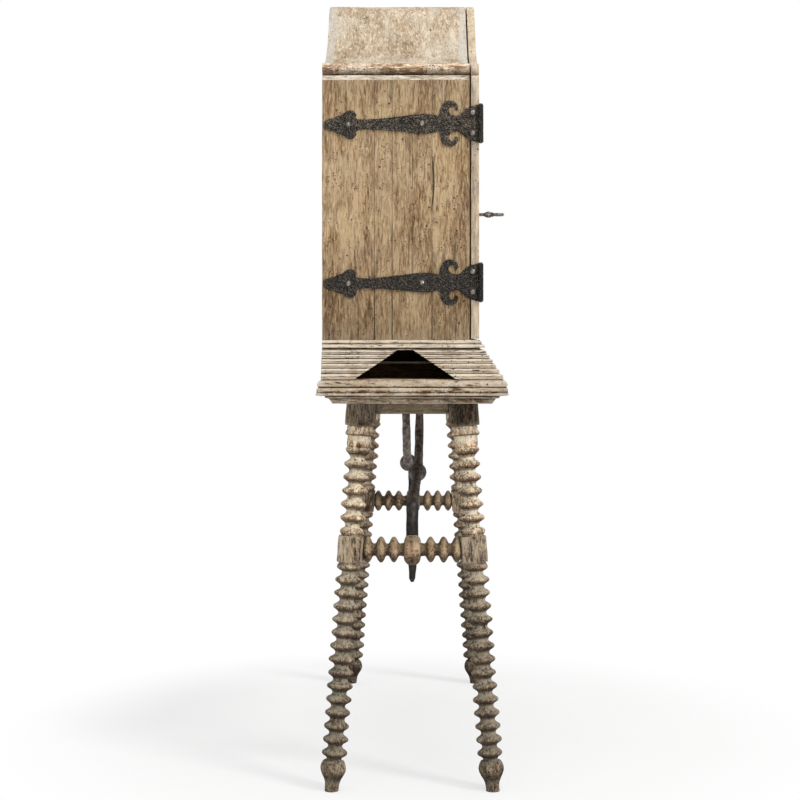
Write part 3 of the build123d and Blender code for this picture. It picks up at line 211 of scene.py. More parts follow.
def old_wood(name, grain, tones, lime=0.3, rust=0.0, worm=1.0, carved=False, levels=None, seed=0.0, crack=1.0,
             cream=srgb(226, 214, 196), stain=srgb(134, 94, 60), patch_scale=16.0, ends=0.0, span=0.075,
             fibres=0.45, edge=0.6, relief=0.42, joints=(), split=None, shine=0.3, turned=False, grime=0.0):
    """Old worked wood. tones are its dark, mid and light, span apart in the figure; lime is the pale wash on it;
    rust the warm bare patches; grime the fine soot; ends the pale rims at its front and back ends. Carved wood
    is dark in its grooves, dirt together with painted shade, and pale on its crests. Turned wood keeps the wash
    in its coves and on its upward faces as painted light, takes painted shade on its undersides and is rubbed
    brown on its rims. Other wood takes painted shade in its inner corners. levels darken it by height, as
    painted light and shade on some woods; joints are the Y places of board joints; split is one open crack, as
    its Y, bulge, middle Z and half height."""
    dark, mid, light = tones
    g = Graph(name)
    base = g.scaled(g.object, (1, 1, 1), (seed, seed * 0.7, seed * 1.3))
    along = g.scaled(base, grain)
    broad = g.noise(along, 11.0, 5, 0.6, 0.8)
    streak = g.noise(along, 110.0, 6, 0.68, 0.5)
    fine = g.noise(along, 330.0, 4, 0.75)
    patch = g.noise(base, patch_scale, 7, 0.68, 0.4)
    figure = g.add(g.add(g.mul(broad, 0.32), g.mul(streak, 0.36)), g.mul(fine, 0.32))
    if carved:
        figure = g.add(figure, g.mul(g.sub(g.crest(), 0.5), relief))
    colour = g.ramp(figure, (MIDTONE - span * 1.2, dark), (MIDTONE, mid), (MIDTONE + span, light))
    fibre = g.fall(g.noise(g.scaled(base, grained(grain, 0.5)), 260.0, 3, 0.65), 0.33, 0.43)
    colour = g.lay(colour, tuple(v * 0.42 for v in dark), fibre, fibres)
    fleck = g.rise(g.noise(along, 250.0, 4, 0.7), 0.56, 0.64)
    colour = g.lay(colour, tuple(min(1.0, v * 1.35) for v in light), fleck, 0.65)
    if rust:
        bare = g.noise(g.scaled(base, grained(grain, 3.0), (3.0, 1.0, 2.0)), patch_scale * 2.2, 6, 0.66)
        colour = g.lay(colour, stain, g.rise(bare, 0.52, 0.60), rust)
    grit = g.rise(g.noise(base, 300.0, 3, 0.7), 0.42, 0.50)
    wash = g.mul(g.rise(patch, 0.50, 0.565), grit)
    if turned:
        # Lime wash kept in the coves, and the same pale wash laid on upward faces as painted light from above.
        cove_wash_and_top_light = g.fall(g.crest(), 0.12, 0.62)
        up = g.ramp(g.facing_up(), (0.15, 0.0), (0.7, 0.8))
        cove_wash_and_top_light = g.mul(g.most(cove_wash_and_top_light, up), g.ramp(streak, (0.40, 0.05), (0.52, 1.0)))
        colour = g.lay(colour, cream, cove_wash_and_top_light, 0.78)
        wash = g.mul(wash, 0.55)
    elif carved:
        wash = g.mul(wash, g.ramp(g.crest(), (0.25, 0.25), (0.6, 1.0)))
    colour = g.lay(colour, cream, wash, lime)
    place = g.parts(g.object)
    if ends:
        y = g.size(g.sub(place["Y"], CABINET_Y))
        rim = g.rise(g.add(y, g.mul(patch, 0.03)), 0.158, 0.165)
        colour = g.lay(colour, srgb(206, 200, 190), rim, ends)
    if edge:
        colour = g.lay(colour, cream, g.rise(g.pointy(), 0.51, 0.58), edge)
    if turned:
        # Painted shade: undersides of the turnings darkened, more strongly partway down each ring.
        under = g.rise(g.mul(g.facing_up(), -1.0), 0.06, 0.50)
        seam = g.fall(g.size(g.sub(g.crest(), 0.46)), 0.04, 0.20)
        under = g.mul(under, g.add(g.mul(seam, 0.30), 0.70))
        colour = g.lay(colour, srgb(52, 37, 24), under, 1.0)
    elif carved:
        # Dark in the grooves: dirt together with painted shade.
        groove_dirt_and_shade = g.add(g.crest(), g.mul(g.sub(fine, 0.5), 0.9))
        colour = g.lay(colour, srgb(40, 29, 20), g.fall(groove_dirt_and_shade, 0.18, 0.53), 0.93)
    else:
        # Painted shade in inner corners, where the surface folds inwards.
        colour = g.lay(colour, srgb(50, 38, 28), g.fall(g.pointy(), 0.44, 0.495), 0.8)
    line = g.size(g.sub(g.noise(g.scaled(base, grained(grain, 0.12)), 30.0, 2, 0.5, 0.2), 0.5))
    gate = g.rise(g.noise(base, 9.0, 3), 0.50, 0.56)
    cracks = g.mul(g.fall(line, 0.0012, 0.0042), g.mul(gate, crack))
    small = g.fall(g.cells(base, 150.0), 0.13, 0.23)
    small = g.mul(small, g.rise(g.noise(base, 24.0, 4), 0.48, 0.56))
    large = g.fall(g.cells(base, 44.0), 0.072, 0.102)
    large = g.mul(large, g.rise(g.noise(base, 6.0, 2), 0.36, 0.44))
    holes = g.most(cracks, g.mul(g.most(small, large), worm))
    if grime:
        soot = g.noise(g.scaled(along, (1, 1, 1), (7.0, 3.0, 5.0)), 190.0, 3, 0.7, 0.3)
        where = g.ramp(g.noise(base, 34.0, 4, 0.6), (0.42, 0.15), (0.56, 1.0))
        soot = g.mul(g.rise(soot, 0.56, 0.62), where)
        colour = g.lay(colour, srgb(52, 38, 26), soot, grime)
    for y in joints:
        gap = g.mul(g.size(g.sub(place["Y"], y)), 100.0)
        gap = g.mul(g.fall(gap, 0.03, 0.11), g.ramp(streak, (0.40, 0.0), (0.52, 0.9)))
        holes = g.most(holes, g.mul(gap, g.by_height(JOINT_LEVELS)))
    if split:
        y_end, bulge, z_mid, z_half = split
        t = g.math("DIVIDE", g.sub(place["Z"], z_mid), z_half)
        rise = g.most(g.sub(1.0, g.mul(t, t)), 0.0)
        centre = g.add(g.mul(rise, bulge), y_end)
        off = g.size(g.sub(place["Y"], g.add(centre, g.mul(streak, 0.003))))
        crack_open = g.mul(g.sub(g.mul(rise, 0.0021), off), 1000.0)
        near_end = g.rise(g.mul(place["X"], -1.0), 0.1, 0.2)
        holes = g.most(holes, g.mul(g.rise(crack_open, 0.0, 0.5), near_end))
    colour = g.lay(colour, srgb(34, 25, 17), holes, 0.88)
    if levels:
        colour = g.mix(1.0, colour, g.by_height(levels), "MULTIPLY")
    height = g.sub(g.add(g.mul(fine, 0.7), g.mul(streak, 0.9)), g.most(holes, g.mul(fibre, 0.35)))
    rough = g.ramp(fine, (0.3, WOOD_ROUGH + 0.1), (0.7, WOOD_ROUGH - 0.12))
    return g.finish(colour, rough, g.bump(height, 0.9, 0.0026, g.bump(broad, 0.4, 0.006)),
                    Specular_IOR_Level=shine)


def hammered_iron(name, deep, body, ridge, rust, rust_amount, dent=230.0, depth=0.0024, rough=0.42,
                  levels=None, metal=0.35, tick=340.0, domed=False, barrel=False):
    """Wrought iron: hammer marks with painted shade in their hollows and painted glints on the specks between
    them, pits and a little rust. Domed iron has painted shade at its foot and a painted highlight on its crown;
    a barrel is dark round the hinge's knuckles."""
    g = Graph(name)
    dents = g.rise(g.cells(g.object, dent), 0.12, 0.62)
    pits_and_glints = g.noise(g.object, tick, 2, 0.6, 0.6)
    # The tone paints shade in hammer-mark hollows and pits, and glints on the specks and ridges between them.
    tone = g.add(g.mul(dents, 0.14), g.mul(pits_and_glints, 0.86))
    if domed:
        # Domed iron: painted shade at the foot, painted highlight on the crown.
        tone = g.add(g.mul(tone, 0.35), g.mul(g.crest(), 0.45))
        colour = g.ramp(tone, (0.36, deep), (0.50, body), (0.62, ridge))
    else:
        colour = g.ramp(tone, (0.42, deep), (0.52, body), (0.64, ridge))
    colour = g.mix(g.ramp(g.noise(g.object, 30.0, 4, 0.6), (0.44, 0.0), (0.66, 0.28)), colour, deep)
    spot = g.rise(g.noise(g.object, 60.0, 5, 0.65), 0.54, 0.66)
    colour = g.lay(colour, rust, spot, rust_amount)
    colour = g.lay(colour, ridge, g.rise(g.pointy(), 0.52, 0.62), 0.45)
    if barrel:
        place = g.parts(g.object)
        front = g.rise(g.mul(place["Y"], -1.0), 0.1325, 0.1355)
        outer = g.ramp(g.size(place["X"]), (0.5402, 0.0), (0.5408, 0.8))
        colour = g.lay(colour, deep, front, outer)
    if levels:
        colour = g.mix(1.0, colour, g.by_height(levels), "MULTIPLY")
    height = g.add(dents, g.mul(pits_and_glints, 0.6))
    roughness = g.ramp(tone, (0.3, rough + 0.18), (0.6, rough - 0.06))
    return g.finish(colour, roughness, g.bump(height, 1.0, depth), Metallic=metal, Specular_IOR_Level=0.6)


GRAIN_Z = (1.0, 1.0, 0.17)
GRAIN_Y = (1.0, 0.17, 1.0)
GRAIN_X = (0.17, 1.0, 1.0)
SIDE_LEVELS = ((1.0, 0.58), (1.05, 0.65), (1.12, 0.75), (1.25, 0.86), (1.48, 0.86), (1.545, 0.79),
               (1.585, 0.70))
# Painted light on the shoulder bead: shade on its underside, a highlight on its top.
BEAD_LIGHT_LEVELS = ((1.593, 0.35), (1.598, 0.60), (1.605, 1.25), (1.613, 1.85), (1.6215, 1.5))
STRAP_LEVELS = ((1.20, 0.55), (1.32, 1.0))
# Painted light and shade on the legs: darker towards the floor, brighter near the top.
LEG_LIGHT_LEVELS = ((0.0, 0.42), (0.12, 0.54), (0.36, 0.76), (0.50, 0.96), (0.60, 1.54), (0.86, 1.62))
# Top blocks darker under the stand's moulding: dark patina together with painted shade.
BLOCK_PATINA_AND_SHADE = ((0.0, 1.0), (0.79, 1.0), (0.80, 0.58), (0.90, 0.53))
# Painted shade on the lower part of the stand's moulding, under its overhanging roll.
BAND_SHADE_LEVELS = ((0.0, 0.78), (0.8768, 0.82), (0.8795, 1.0), (0.913, 1.0))
# Painted shade on the fiadores: much darker below the run, brighter along it.
IRON_SHADE_LEVELS = ((0.0, 0.18), (0.57, 0.16), (0.64, 0.40), (0.69, 1.3), (1.0, 1.4))
JOINT_LEVELS = ((1.11, 1.0), (1.144, 0.22))
JOINTS = (0.09693, 0.057, -0.0321)


def shades(*numbers):
    """Three or more colours from a run of 0-255 values."""
    return tuple(srgb(*numbers[i:i + 3]) for i in range(0, len(numbers), 3))


PALE = shades(52, 35, 21, 128, 100, 71, 228, 210, 184)
BAND = shades(56, 39, 24, 120, 92, 62, 198, 176, 146)
DARKER = shades(46, 33, 23, 84, 63, 45, 118, 92, 68)
PALE_LOOK = dict(lime=0.54, rust=0.5, carved=True, crack=0.5, cream=srgb(238, 227, 210), grime=1.0, span=0.06)
BAND_LOOK = dict(lime=0.8, rust=0.6, carved=True, crack=0.8, patch_scale=26.0, levels=BAND_SHADE_LEVELS, grime=0.9,
                 span=0.055)
TURNED_LOOK = dict(carved=True, turned=True, edge=0.1, span=0.055)
mats = {
    "side": old_wood("side_wood", GRAIN_Z, shades(112, 80, 50, 182, 149, 108, 222, 192, 150), lime=0.10,
                     rust=0.22, patch_scale=9.0, levels=SIDE_LEVELS, edge=0.15, joints=JOINTS, crack=0.6,
                     fibres=0.4, grime=0.35, split=(-0.0305, -0.0072, 1.352, 0.072), span=0.062),
    "door": old_wood("door_wood", GRAIN_Z, shades(137, 107, 77, 209, 182, 147, 234, 214, 184), lime=0.5,
                     rust=0.2, seed=3.1, patch_scale=9.0, edge=0.4, grime=0.2),
    "plain": old_wood("plain_wood", GRAIN_X, DARKER, lime=0.05, seed=1.7, edge=0.15),
    # Pale arris of the rails: worn bare wood together with a painted highlight.
    "rail_edge": old_wood("rail_worn_edge_and_highlight", GRAIN_Y, shades(150, 132, 106, 214, 200, 176, 238, 230, 214),
                          seed=1.7, worm=0.3, edge=0.0),
    # Rail body darkened as painted shade inside the stand's opening.
    "rail": old_wood("rail_wood_painted_shade", GRAIN_Y, shades(34, 25, 15, 56, 42, 26, 80, 62, 42), lime=0.0, seed=1.9,
                     edge=0.0, shine=0.0),
    "plain_z": old_wood("plain_wood_upright", GRAIN_Z, DARKER, lime=0.05, seed=1.2, edge=0.15),
    "pale_y": old_wood("pale_wood_end", GRAIN_Y, PALE, seed=5.0, **PALE_LOOK),
    "pale_x": old_wood("pale_wood_front", GRAIN_X, PALE, seed=5.5, **PALE_LOOK),
    "bead": old_wood("bead_wood", GRAIN_Y, PALE, lime=0.6, rust=0.1, seed=5.2, crack=0.5, levels=BEAD_LIGHT_LEVELS,
                     edge=0.0, cream=srgb(224, 212, 194), span=0.13, fibres=0.2, grime=0.3),
    "top": old_wood("top_wood", (0.25, 0.8, 0.25), shades(140, 116, 88, 188, 167, 140, 222, 207, 184),
                    lime=0.55, rust=0.3, seed=8.0, patch_scale=9.0, ends=0.6, fibres=0.10, edge=0.1,
                    crack=0.0, grime=0.22, cream=srgb(216, 206, 190), stain=srgb(160, 128, 92)),
    "stand_y": old_wood("stand_wood_end", GRAIN_Y, BAND, seed=2.0, **BAND_LOOK),
    "stand_x": old_wood("stand_wood_front", GRAIN_X, BAND, seed=2.4, **BAND_LOOK),
    "fillet": old_wood("fillet_wood", GRAIN_Y, shades(104, 82, 60, 188, 169, 144, 232, 220, 202), lime=0.5,
                       seed=9.0, worm=0.7, crack=0.4, edge=0.0, grime=0.5, span=0.06),
    "apron": old_wood("apron_wood", GRAIN_Y, shades(74, 62, 44, 120, 104, 82, 150, 134, 108), lime=0.12,
                      seed=6.0, worm=0.6, edge=0.1),
    "turned": old_wood("turned_wood", (1.0, 1.0, 0.5), shades(56, 38, 23, 143, 110, 78, 228, 206, 172),
                       lime=0.5, rust=0.45, seed=4.0, levels=LEG_LIGHT_LEVELS, patch_scale=30.0, relief=-0.04,
                       cream=srgb(212, 203, 182), stain=srgb(146, 92, 56), grime=0.95, **TURNED_LOOK),
    "stretcher": old_wood("stretcher_wood", (1.0, 0.5, 1.0), shades(46, 31, 18, 114, 85, 58, 208, 182, 146),
                          lime=0.45, rust=0.5, seed=4.8, patch_scale=34.0, relief=0.10,
                          cream=srgb(128, 116, 94), stain=srgb(140, 86, 52), grime=0.9, **TURNED_LOOK),
    "block": old_wood("block_wood", GRAIN_Z, shades(48, 34, 21, 112, 90, 66, 186, 166, 138), lime=0.25,
                      rust=0.2, seed=4.4, levels=BLOCK_PATINA_AND_SHADE, edge=0.35, fibres=0.9, grime=0.8, span=0.05),
    "black": hammered_iron("black_iron", *shades(8, 6, 4, 25, 20, 16, 118, 105, 88, 64, 47, 34), 0.12,
                           barrel=True, levels=STRAP_LEVELS),
    "rivet": hammered_iron("rivet_iron", *shades(8, 7, 5, 60, 55, 48, 172, 165, 154, 72, 54, 40), 0.05,
                           metal=0.6, rough=0.30, depth=0.0008, domed=True),
    "key": hammered_iron("key_iron", *shades(26, 24, 21, 84, 79, 73, 186, 182, 174, 72, 60, 50), 0.15,
                         metal=0.6, rough=0.32, depth=0.0010),
    "brown": hammered_iron("brown_iron", *shades(58, 49, 44, 88, 77, 70, 124, 111, 102, 112, 84, 66), 0.3,
                           dent=60.0, depth=0.0012, rough=0.5, tick=90.0, levels=IRON_SHADE_LEVELS),
}


# ------------------------------------------------------------------ mesh helpers
def placed(name, data):
    """A new object in the scene."""
    obj = bpy.data.objects.new(name, data)
    bpy.context.scene.collection.objects.link(obj)
    return obj


def piece(name, bm, mat, body, nodes, smooth=35.0, second=None):
    """A finished object from a bmesh: shaded, dressed, riding on its body and standing for its nodes."""
    mesh = bpy.data.meshes.new(name)
    bmesh.ops.recalc_face_normals(bm, faces=bm.faces)
    bm.to_mesh(mesh)
    bm.free()
    obj = placed(name, mesh)
    for polygon in mesh.polygons:
        polygon.use_smooth = True
    mesh.set_sharp_from_angle(angle=math.radians(smooth))
    mesh.materials.append(mats[mat])
    if second:
        mesh.materials.append(mats[second])
    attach(obj, body)
    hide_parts(*nodes)


def dressed(node, mat, body=CARCASS, soft=0.0012):
    """A copy of a CAD node with eased edges, standing for that node."""
    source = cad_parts[node]
    bm = bmesh.new()
    bm.from_mesh(source.data)
    bm.transform(source.matrix_world)
    bmesh.ops.remove_doubles(bm, verts=bm.verts, dist=1e-6)
    bmesh.ops.dissolve_limit(bm, angle_limit=math.radians(1.0), verts=bm.verts, edges=bm.edges)
    sharp = [e for e in bm.edges if len(e.link_faces) == 2 and e.calc_face_angle(0) > math.radians(38)]
    bmesh.ops.bevel(bm, geom=sharp, offset=soft, segments=2, affect="EDGES", clamp_overlap=True)
    wide = [f for f in bm.faces if f.calc_area() / f.calc_perimeter() > 0.005]
    bmesh.ops.inset_individual(bm, faces=wide, thickness=0.003)
    split_wide_faces(bm)
    piece(node + "_dressed", bm, mat, body, (node,))


def split_wide_faces(bm):
    """Triangulates the faces of more than four corners."""
    bmesh.ops.triangulate(bm, faces=[f for f in bm.faces if len(f.verts) > 4])


def wobble(bm, amount, scale, seed=0.0):
    """Moves vertices a little along their normals, so that hand-worked faces aren't dead flat."""
    bm.normal_update()
    shift = Vector((seed, seed * 1.7, -seed))
    for v in bm.verts:
        v.co += v.normal * (amount * noise.noise(v.co * scale + shift))


def spread(a, b, step):
    """Evenly spaced values from a to b, about a step apart."""
    count = max(2, int(abs(b - a) / step))
    return [a + (b - a) * i / count for i in range(count + 1)]


def turns(count, shift=0.0):
    """Angles of count points round a circle."""
    return [2 * math.pi * (i + shift) / count for i in range(count)]


def arc(centre, radius, a0, a1, count):
    """Points of an arc between two angles in degrees, both ends included."""
    angles = [math.radians(a0 + (a1 - a0) * i / count) for i in range(count + 1)]
    return [(centre[0] + radius * math.cos(a), centre[1] + radius * math.sin(a)) for a in angles]


def crest_layer(bm):
    return bm.verts.layers.float.get("crest") or bm.verts.layers.float.new("crest")


def crests(outline):
    """0 to 1 for each point of a closed outline: 1 on its outer corners, 0 in its grooves."""
    count = len(outline)
    area = sum(outline[i - 1][0] * outline[i][1] - outline[i][0] * outline[i - 1][1] for i in range(count))
    side = 1.0 if area > 0 else -1.0
    marks = []
    for i in range(count):
        (ax, ay), (bx, by), (cx, cy) = outline[i - 1], outline[i], outline[(i + 1) % count]
        cross = (bx - ax) * (cy - by) - (by - ay) * (cx - bx)
        angle = side * math.atan2(cross, (bx - ax) * (cx - bx) + (by - ay) * (cy - by))
        marks.append(min(1.0, max(0.0, 0.55 + 0.42 * angle)))
    return marks


def band(bm, a, b):
    """Faces between two rings of vertices."""
    count = len(a)
    return [bm.faces.new((a[i], a[(i + 1) % count], b[(i + 1) % count], b[i])) for i in range(count)]


def skin(bm, rows, material=0, caps=True):
    """Faces between neighbouring rings, and over the first and last ring; returns the faces between rings."""
    between = [face for a, b in zip(rows, rows[1:]) for face in band(bm, a, b)]
    ends = [bm.faces.new(rows[0][::-1]), bm.faces.new(rows[-1])] if caps else []
    for face in between + ends:
        face.material_index = material
    return between


def slice_at(bm, place, normal, clear=False):
    """Cuts a mesh along a plane; with clear, what lies beyond the plane goes and the cut is closed."""
    geom = bm.verts[:] + bm.edges[:] + bm.faces[:]
    cut = bmesh.ops.bisect_plane(bm, geom=geom, plane_co=place, plane_no=normal, clear_outer=clear)
    if clear:
        rim = [g for g in cut["geom_cut"] if isinstance(g, bmesh.types.BMEdge)]
        bmesh.ops.holes_fill(bm, edges=rim, sides=0)


def absorb(bm, part):
    """Adds a second bmesh to the first and frees it."""
    mesh = bpy.data.meshes.new("part")
    part.to_mesh(mesh)
    part.free()
    bm.from_mesh(mesh)
    bpy.data.meshes.remove(mesh)


def add_box(bm, lo, hi, soft):
    """A small block with eased edges."""
    made = bmesh.ops.create_cube(bm, size=1.0)["verts"]
    size = Vector(hi) - Vector(lo)
    for v in made:
        v.co = Vector(lo) + Vector(((v.co[i] + 0.5) * size[i] for i in range(3)))
    edges = list(dict.fromkeys(e for v in made for e in v.link_edges))
    bmesh.ops.bevel(bm, geom=edges, offset=soft, segments=2, affect="EDGES", profile=0.6)


def add_prism(bm, outline, to_point, stations):
    """A bar of one closed outline through stations; to_point(u, v, s) gives each vertex its place."""
    layer = crest_layer(bm)
    marks = crests(outline)
    rows = [[bm.verts.new(to_point(u, v, s)) for u, v in outline] for s in stations]
    for row in rows:
        for v, mark in zip(row, marks):
            v[layer] = mark
    skin(bm, rows)


def add_lathe(bm, profile, place, segments=40, eccentric=0.0, seed=0):
    """A turning of (distance, radius) stations; place(x, y, s) gives each vertex its place."""
    local = random.Random(seed)
    lean = [local.uniform(-1, 1) for _ in range(3)]
    layer = crest_layer(bm)
    rows = []
    for s, r in profile:
        near = [q for t, q in profile if abs(t - s) < 0.013]
        low, high = min(near), max(near)
        mark = (r - low) / (high - low) if high - low > 0.004 else 0.6
        row = []
        for a in turns(segments):
            push = 1 + eccentric * (lean[0] * math.cos(2 * a + s * 31) + lean[1] * math.cos(3 * a - s * 57)
                                    + lean[2] * math.cos(a + s * 93)) / 2
            row.append(bm.verts.new(place(r * push * math.cos(a), r * push * math.sin(a), s)))
            row[-1][layer] = mark
        rows.append(row)
    skin(bm, rows)


# ------------------------------------------------------------------ ogee top, beads, ends and doors
OGEE_FOOT_X = 0.5195
CROWN = CAB_Z + 0.821
SHOULDER = CAB_Z + 0.593
BEAD_R = 0.0145
FILLET = 0.006                # how far the sloping fillet steps in at the head of the ends
BEAD_X = END_X - FILLET - BEAD_R
HOLLOW_R = 0.315
ROUND_R = 0.197
SLOPE = 48.0
TOP_THICK = 0.016
END_THICK = 0.02
JOINT_EASE = 0.0007
MEET = 0.0015                 # half the gap between the doors
DOOR_EASE = 0.0007
V_CUT = 0.003                 # depth and half width of the V joints of the doors


def ogee(inset=0.0, x_end=0.0, steps=14):
    """(x, z) points of the top's outline from the bead to x_end, set into the wood by inset."""
    turn = math.radians(SLOPE)
    foot_z = SHOULDER + 2 * BEAD_R
    left = CROWN - foot_z - (HOLLOW_R + ROUND_R) * (1 - math.cos(turn))
    run = (HOLLOW_R + ROUND_R) * math.sin(turn) + left / math.tan(turn)
    lower = arc((OGEE_FOOT_X, foot_z + HOLLOW_R), HOLLOW_R + inset, -90, -90 - SLOPE, steps)
    upper = arc((OGEE_FOOT_X - run, CROWN - ROUND_R), ROUND_R - inset, 90 - SLOPE, 90, steps)
    return lower + upper + [(x, CROWN - inset) for x in spread(OGEE_FOOT_X - run, x_end, 0.03)[1:]]


def top_boards():
    inner = spread(FRONT_Y, BACK_Y, 0.012)[1:-1]
    stations = [FRONT_Y, FRONT_Y + 0.0012] + inner + [BACK_Y - 0.0012, BACK_Y]
    for name, sign in SIDES:
        bm = bmesh.new()
        add_prism(bm, ogee() + ogee(TOP_THICK)[::-1],
                  lambda x, z, y: (sign * x, y, z - (0.0008 if y in (FRONT_Y, BACK_Y) else 0.0)), stations)
        wobble(bm, 0.0012, 9.0, 3.0 * sign)
        piece(f"ogee_{name}", bm, "top", CARCASS, (f"top_board_{name}",))


def beads():
    z = SHOULDER + BEAD_R
    seat = z + BEAD_R - TOP_THICK
    outline = arc((BEAD_X, z), BEAD_R, -90, 90, 12)
    outline += [(BEAD_X, seat), (BEAD_X - 0.03, seat), (BEAD_X - 0.03, SHOULDER)]
    for name, sign in SIDES:
        bm = bmesh.new()
        add_prism(bm, outline, lambda u, v, y: (sign * u, y, v), spread(FRONT_Y, BACK_Y, 0.012))
        wobble(bm, 0.0006, 25.0, sign)
        piece(f"bead_{name}", bm, "bead", CARCASS, (f"shoulder_bead_{name}",))


def end_panels():
    """Each end's boards, with eased joints and a sloping fillet at the head."""
    cuts = (0.0, 0.354, 0.475, 0.745, 1.0)
    levels = spread(CAB_Z, CAB_Z + END_TALL, 0.02) + [CAB_Z + 0.5828, SHOULDER]
    fillet_z = CAB_Z + END_TALL - 0.0005
    for name, sign in SIDES:
        bm = bmesh.new()
        for near, far in zip(cuts, cuts[1:]):
            y1 = BACK_Y - near * (BACK_Y - FRONT_Y)
            y0 = BACK_Y - far * (BACK_Y - FRONT_Y)
            ys = spread(y0 + JOINT_EASE * 4, y1 - JOINT_EASE * 4, 0.012)
            ys = [y0 + JOINT_EASE * 1.5] + ys + [y1 - JOINT_EASE * 1.5]
            rows = []
            for z in levels:
                x_out = END_X - FILLET * max(0.0, (z - CAB_Z - END_TALL) / (SHOULDER - CAB_Z - END_TALL))
                row = [(END_X - END_THICK, y0), (x_out - JOINT_EASE * 2, y0)] + [(x_out, y) for y in ys]
                row += [(x_out - JOINT_EASE * 2, y1), (END_X - END_THICK, y1)]
                rows.append([bm.verts.new((sign * x, y, z)) for x, y in row])
            for face in skin(bm, rows):
                if min(v.co.z for v in face.verts) > fillet_z:
                    face.material_index = 1
        wobble(bm, 0.0007, 14.0, 7.0 + sign)
        piece(f"end_panel_{name}", bm, "side", CARCASS, (f"end_boards_{name}",), second="fillet")


def doors():
    """Door boards with V joints, their heads cut to the ogee."""
    side_x = END_X - 0.0006
    foot = CAB_Z + 0.003
    outline = [(MEET, foot), (side_x, foot), (side_x, CAB_Z + END_TALL), (END_X - FILLET, SHOULDER)]
    outline += [(BEAD_X, SHOULDER)] + arc((BEAD_X, SHOULDER + BEAD_R), BEAD_R, -90, 90, 12)[1:-1]
    outline += ogee(0.0, MEET, 24)
    mid_x, mid_z = END_X / 2, CAB_Z + 0.35
    for name, sign in SIDES:
        bm = bmesh.new()
        rows = []
        for y in (DOOR_FRONT, DOOR_FRONT + 0.001, DOOR_BACK - 0.001, DOOR_BACK):
            ease = DOOR_EASE if y in (DOOR_FRONT, DOOR_BACK) else 0.0
            rows.append([bm.verts.new((sign * (x - math.copysign(ease, x - mid_x)), y,
                                       z - math.copysign(ease, z - mid_z))) for x, z in outline])
        skin(bm, rows)
        for k in (1, 2):
            joint = MEET + k * (END_X - MEET) / 3
            for dx in (-V_CUT, 0.0, V_CUT):
                slice_at(bm, (sign * (joint + dx), 0, 0), (1, 0, 0))
            for v in bm.verts:
                if abs(abs(v.co.x) - joint) < 1e-5 and abs(v.co.y - DOOR_FRONT) < 0.0011:
                    v.co.y = DOOR_FRONT + V_CUT
        for k in range(1, 18):
            slice_at(bm, (sign * k * END_X / 18, 0, 0), (1, 0, 0))
        for k in range(1, 19):
            slice_at(bm, (0, 0, CAB_Z + k * 0.031), (0, 0, 1))
        split_wide_faces(bm)
        piece(f"door_{name}_face", bm, "door", f"{name}_door", (f"door_{name}_boards",))
        dressed(f"door_{name}_ledges", "door", f"{name}_door", 0.0008)


# ------------------------------------------------------------------ hinges
AXIS_X = END_X + 0.0063
AXIS_Y = DOOR_FRONT - 0.0032
LEVELS = (("lower", CAB_Z + 0.129), ("upper", CAB_Z + 0.484))
PLATE = 0.003
KNUCKLE = 0.028
PLAY = 0.0002                 # between knuckles
BARREL_R = 0.006
BORE_R = 0.00305
PIN_R = 0.003
PIN_HALF = 0.042
BLOCK_SOFT = 0.0003

# Upper halves of flat outlines, (u, v) in millimetres from the hinge axis.
STRAP = ((351.5, 0), (350.6, 5.0), (347.5, 9.2), (342.0, 12.2), (335.0, 14.0), (329.0, 14.8), (325.5, 16.4),
         (322.8, 19.4), (319.6, 20.6), (316.6, 20.0), (312.5, 21.8), (307.0, 24.6), (302.5, 28.4),
         (297.5, 31.6), (291.5, 32.6), (286.0, 31.0), (281.6, 28.0), (278.4, 24.2), (277.6, 20.6),
         (279.6, 17.4), (278.6, 14.4), (273.5, 12.2), (266.0, 11.4), (253.0, 11.2), (243.0, 11.7),
         (228.0, 12.6), (215.0, 13.6), (200.0, 15.0), (187.0, 16.2), (172.0, 18.0), (159.0, 19.6),
         (145.0, 21.4), (131.0, 22.2), (118.0, 22.0), (109.0, 21.0), (100.0, 18.6), (96.0, 17.6),
         (93.2, 19.6), (91.8, 24.0), (90.6, 31.0), (88.2, 38.4), (84.4, 44.6), (79.0, 49.2), (72.0, 51.4),
         (65.0, 51.2), (58.8, 48.8), (53.8, 44.8), (51.0, 40.0), (50.4, 35.0), (51.6, 30.8), (54.4, 28.6),
         (57.4, 30.0), (57.8, 34.0), (59.2, 37.2), (62.6, 38.8), (66.6, 38.0), (70.0, 35.2), (71.6, 31.0),
         (70.8, 26.2), (67.6, 22.0), (62.6, 19.0), (56.0, 17.6), (50.0, 18.0), (45.6, 20.4), (41.0, 24.4),
         (36.0, 30.2), (29.0, 35.6), (20.0, 38.6), (9.8, 40.8))
LEAF = ((118, 0), (111, 6), (104, 15), (96, 22), (92, 23), (90, 16), (86, 10), (76, 8.6), (66, 9.4),
        (56, 13.5), (49, 17), (43, 20), (37, 26), (30, 33), (21, 38.5), (12.5, 41.8), (7.3, 41.8))
FAN = ((43, 0), (46, 4), (52, 7.5), (55, 12), (51, 15.5), (44.5, 17.5), (38.5, 22), (33, 27.5), (26, 32.5),
       (18, 35.6), (9.8, 37.5))
FAN_THICK = 0.002
LEAF_RIVETS = ((84, 0), (30, 22), (30, -22))
# (u, v, lift off the end, radius): two on the strap, two on the fan laid over it
STRAP_RIVETS = ((296, 0, PLATE, 7.6), (131, 0, PLATE, 7.6), (18, 23.5, PLATE + FAN_THICK, 7.9),
                (18, -21.5, PLATE + FAN_THICK, 7.9))


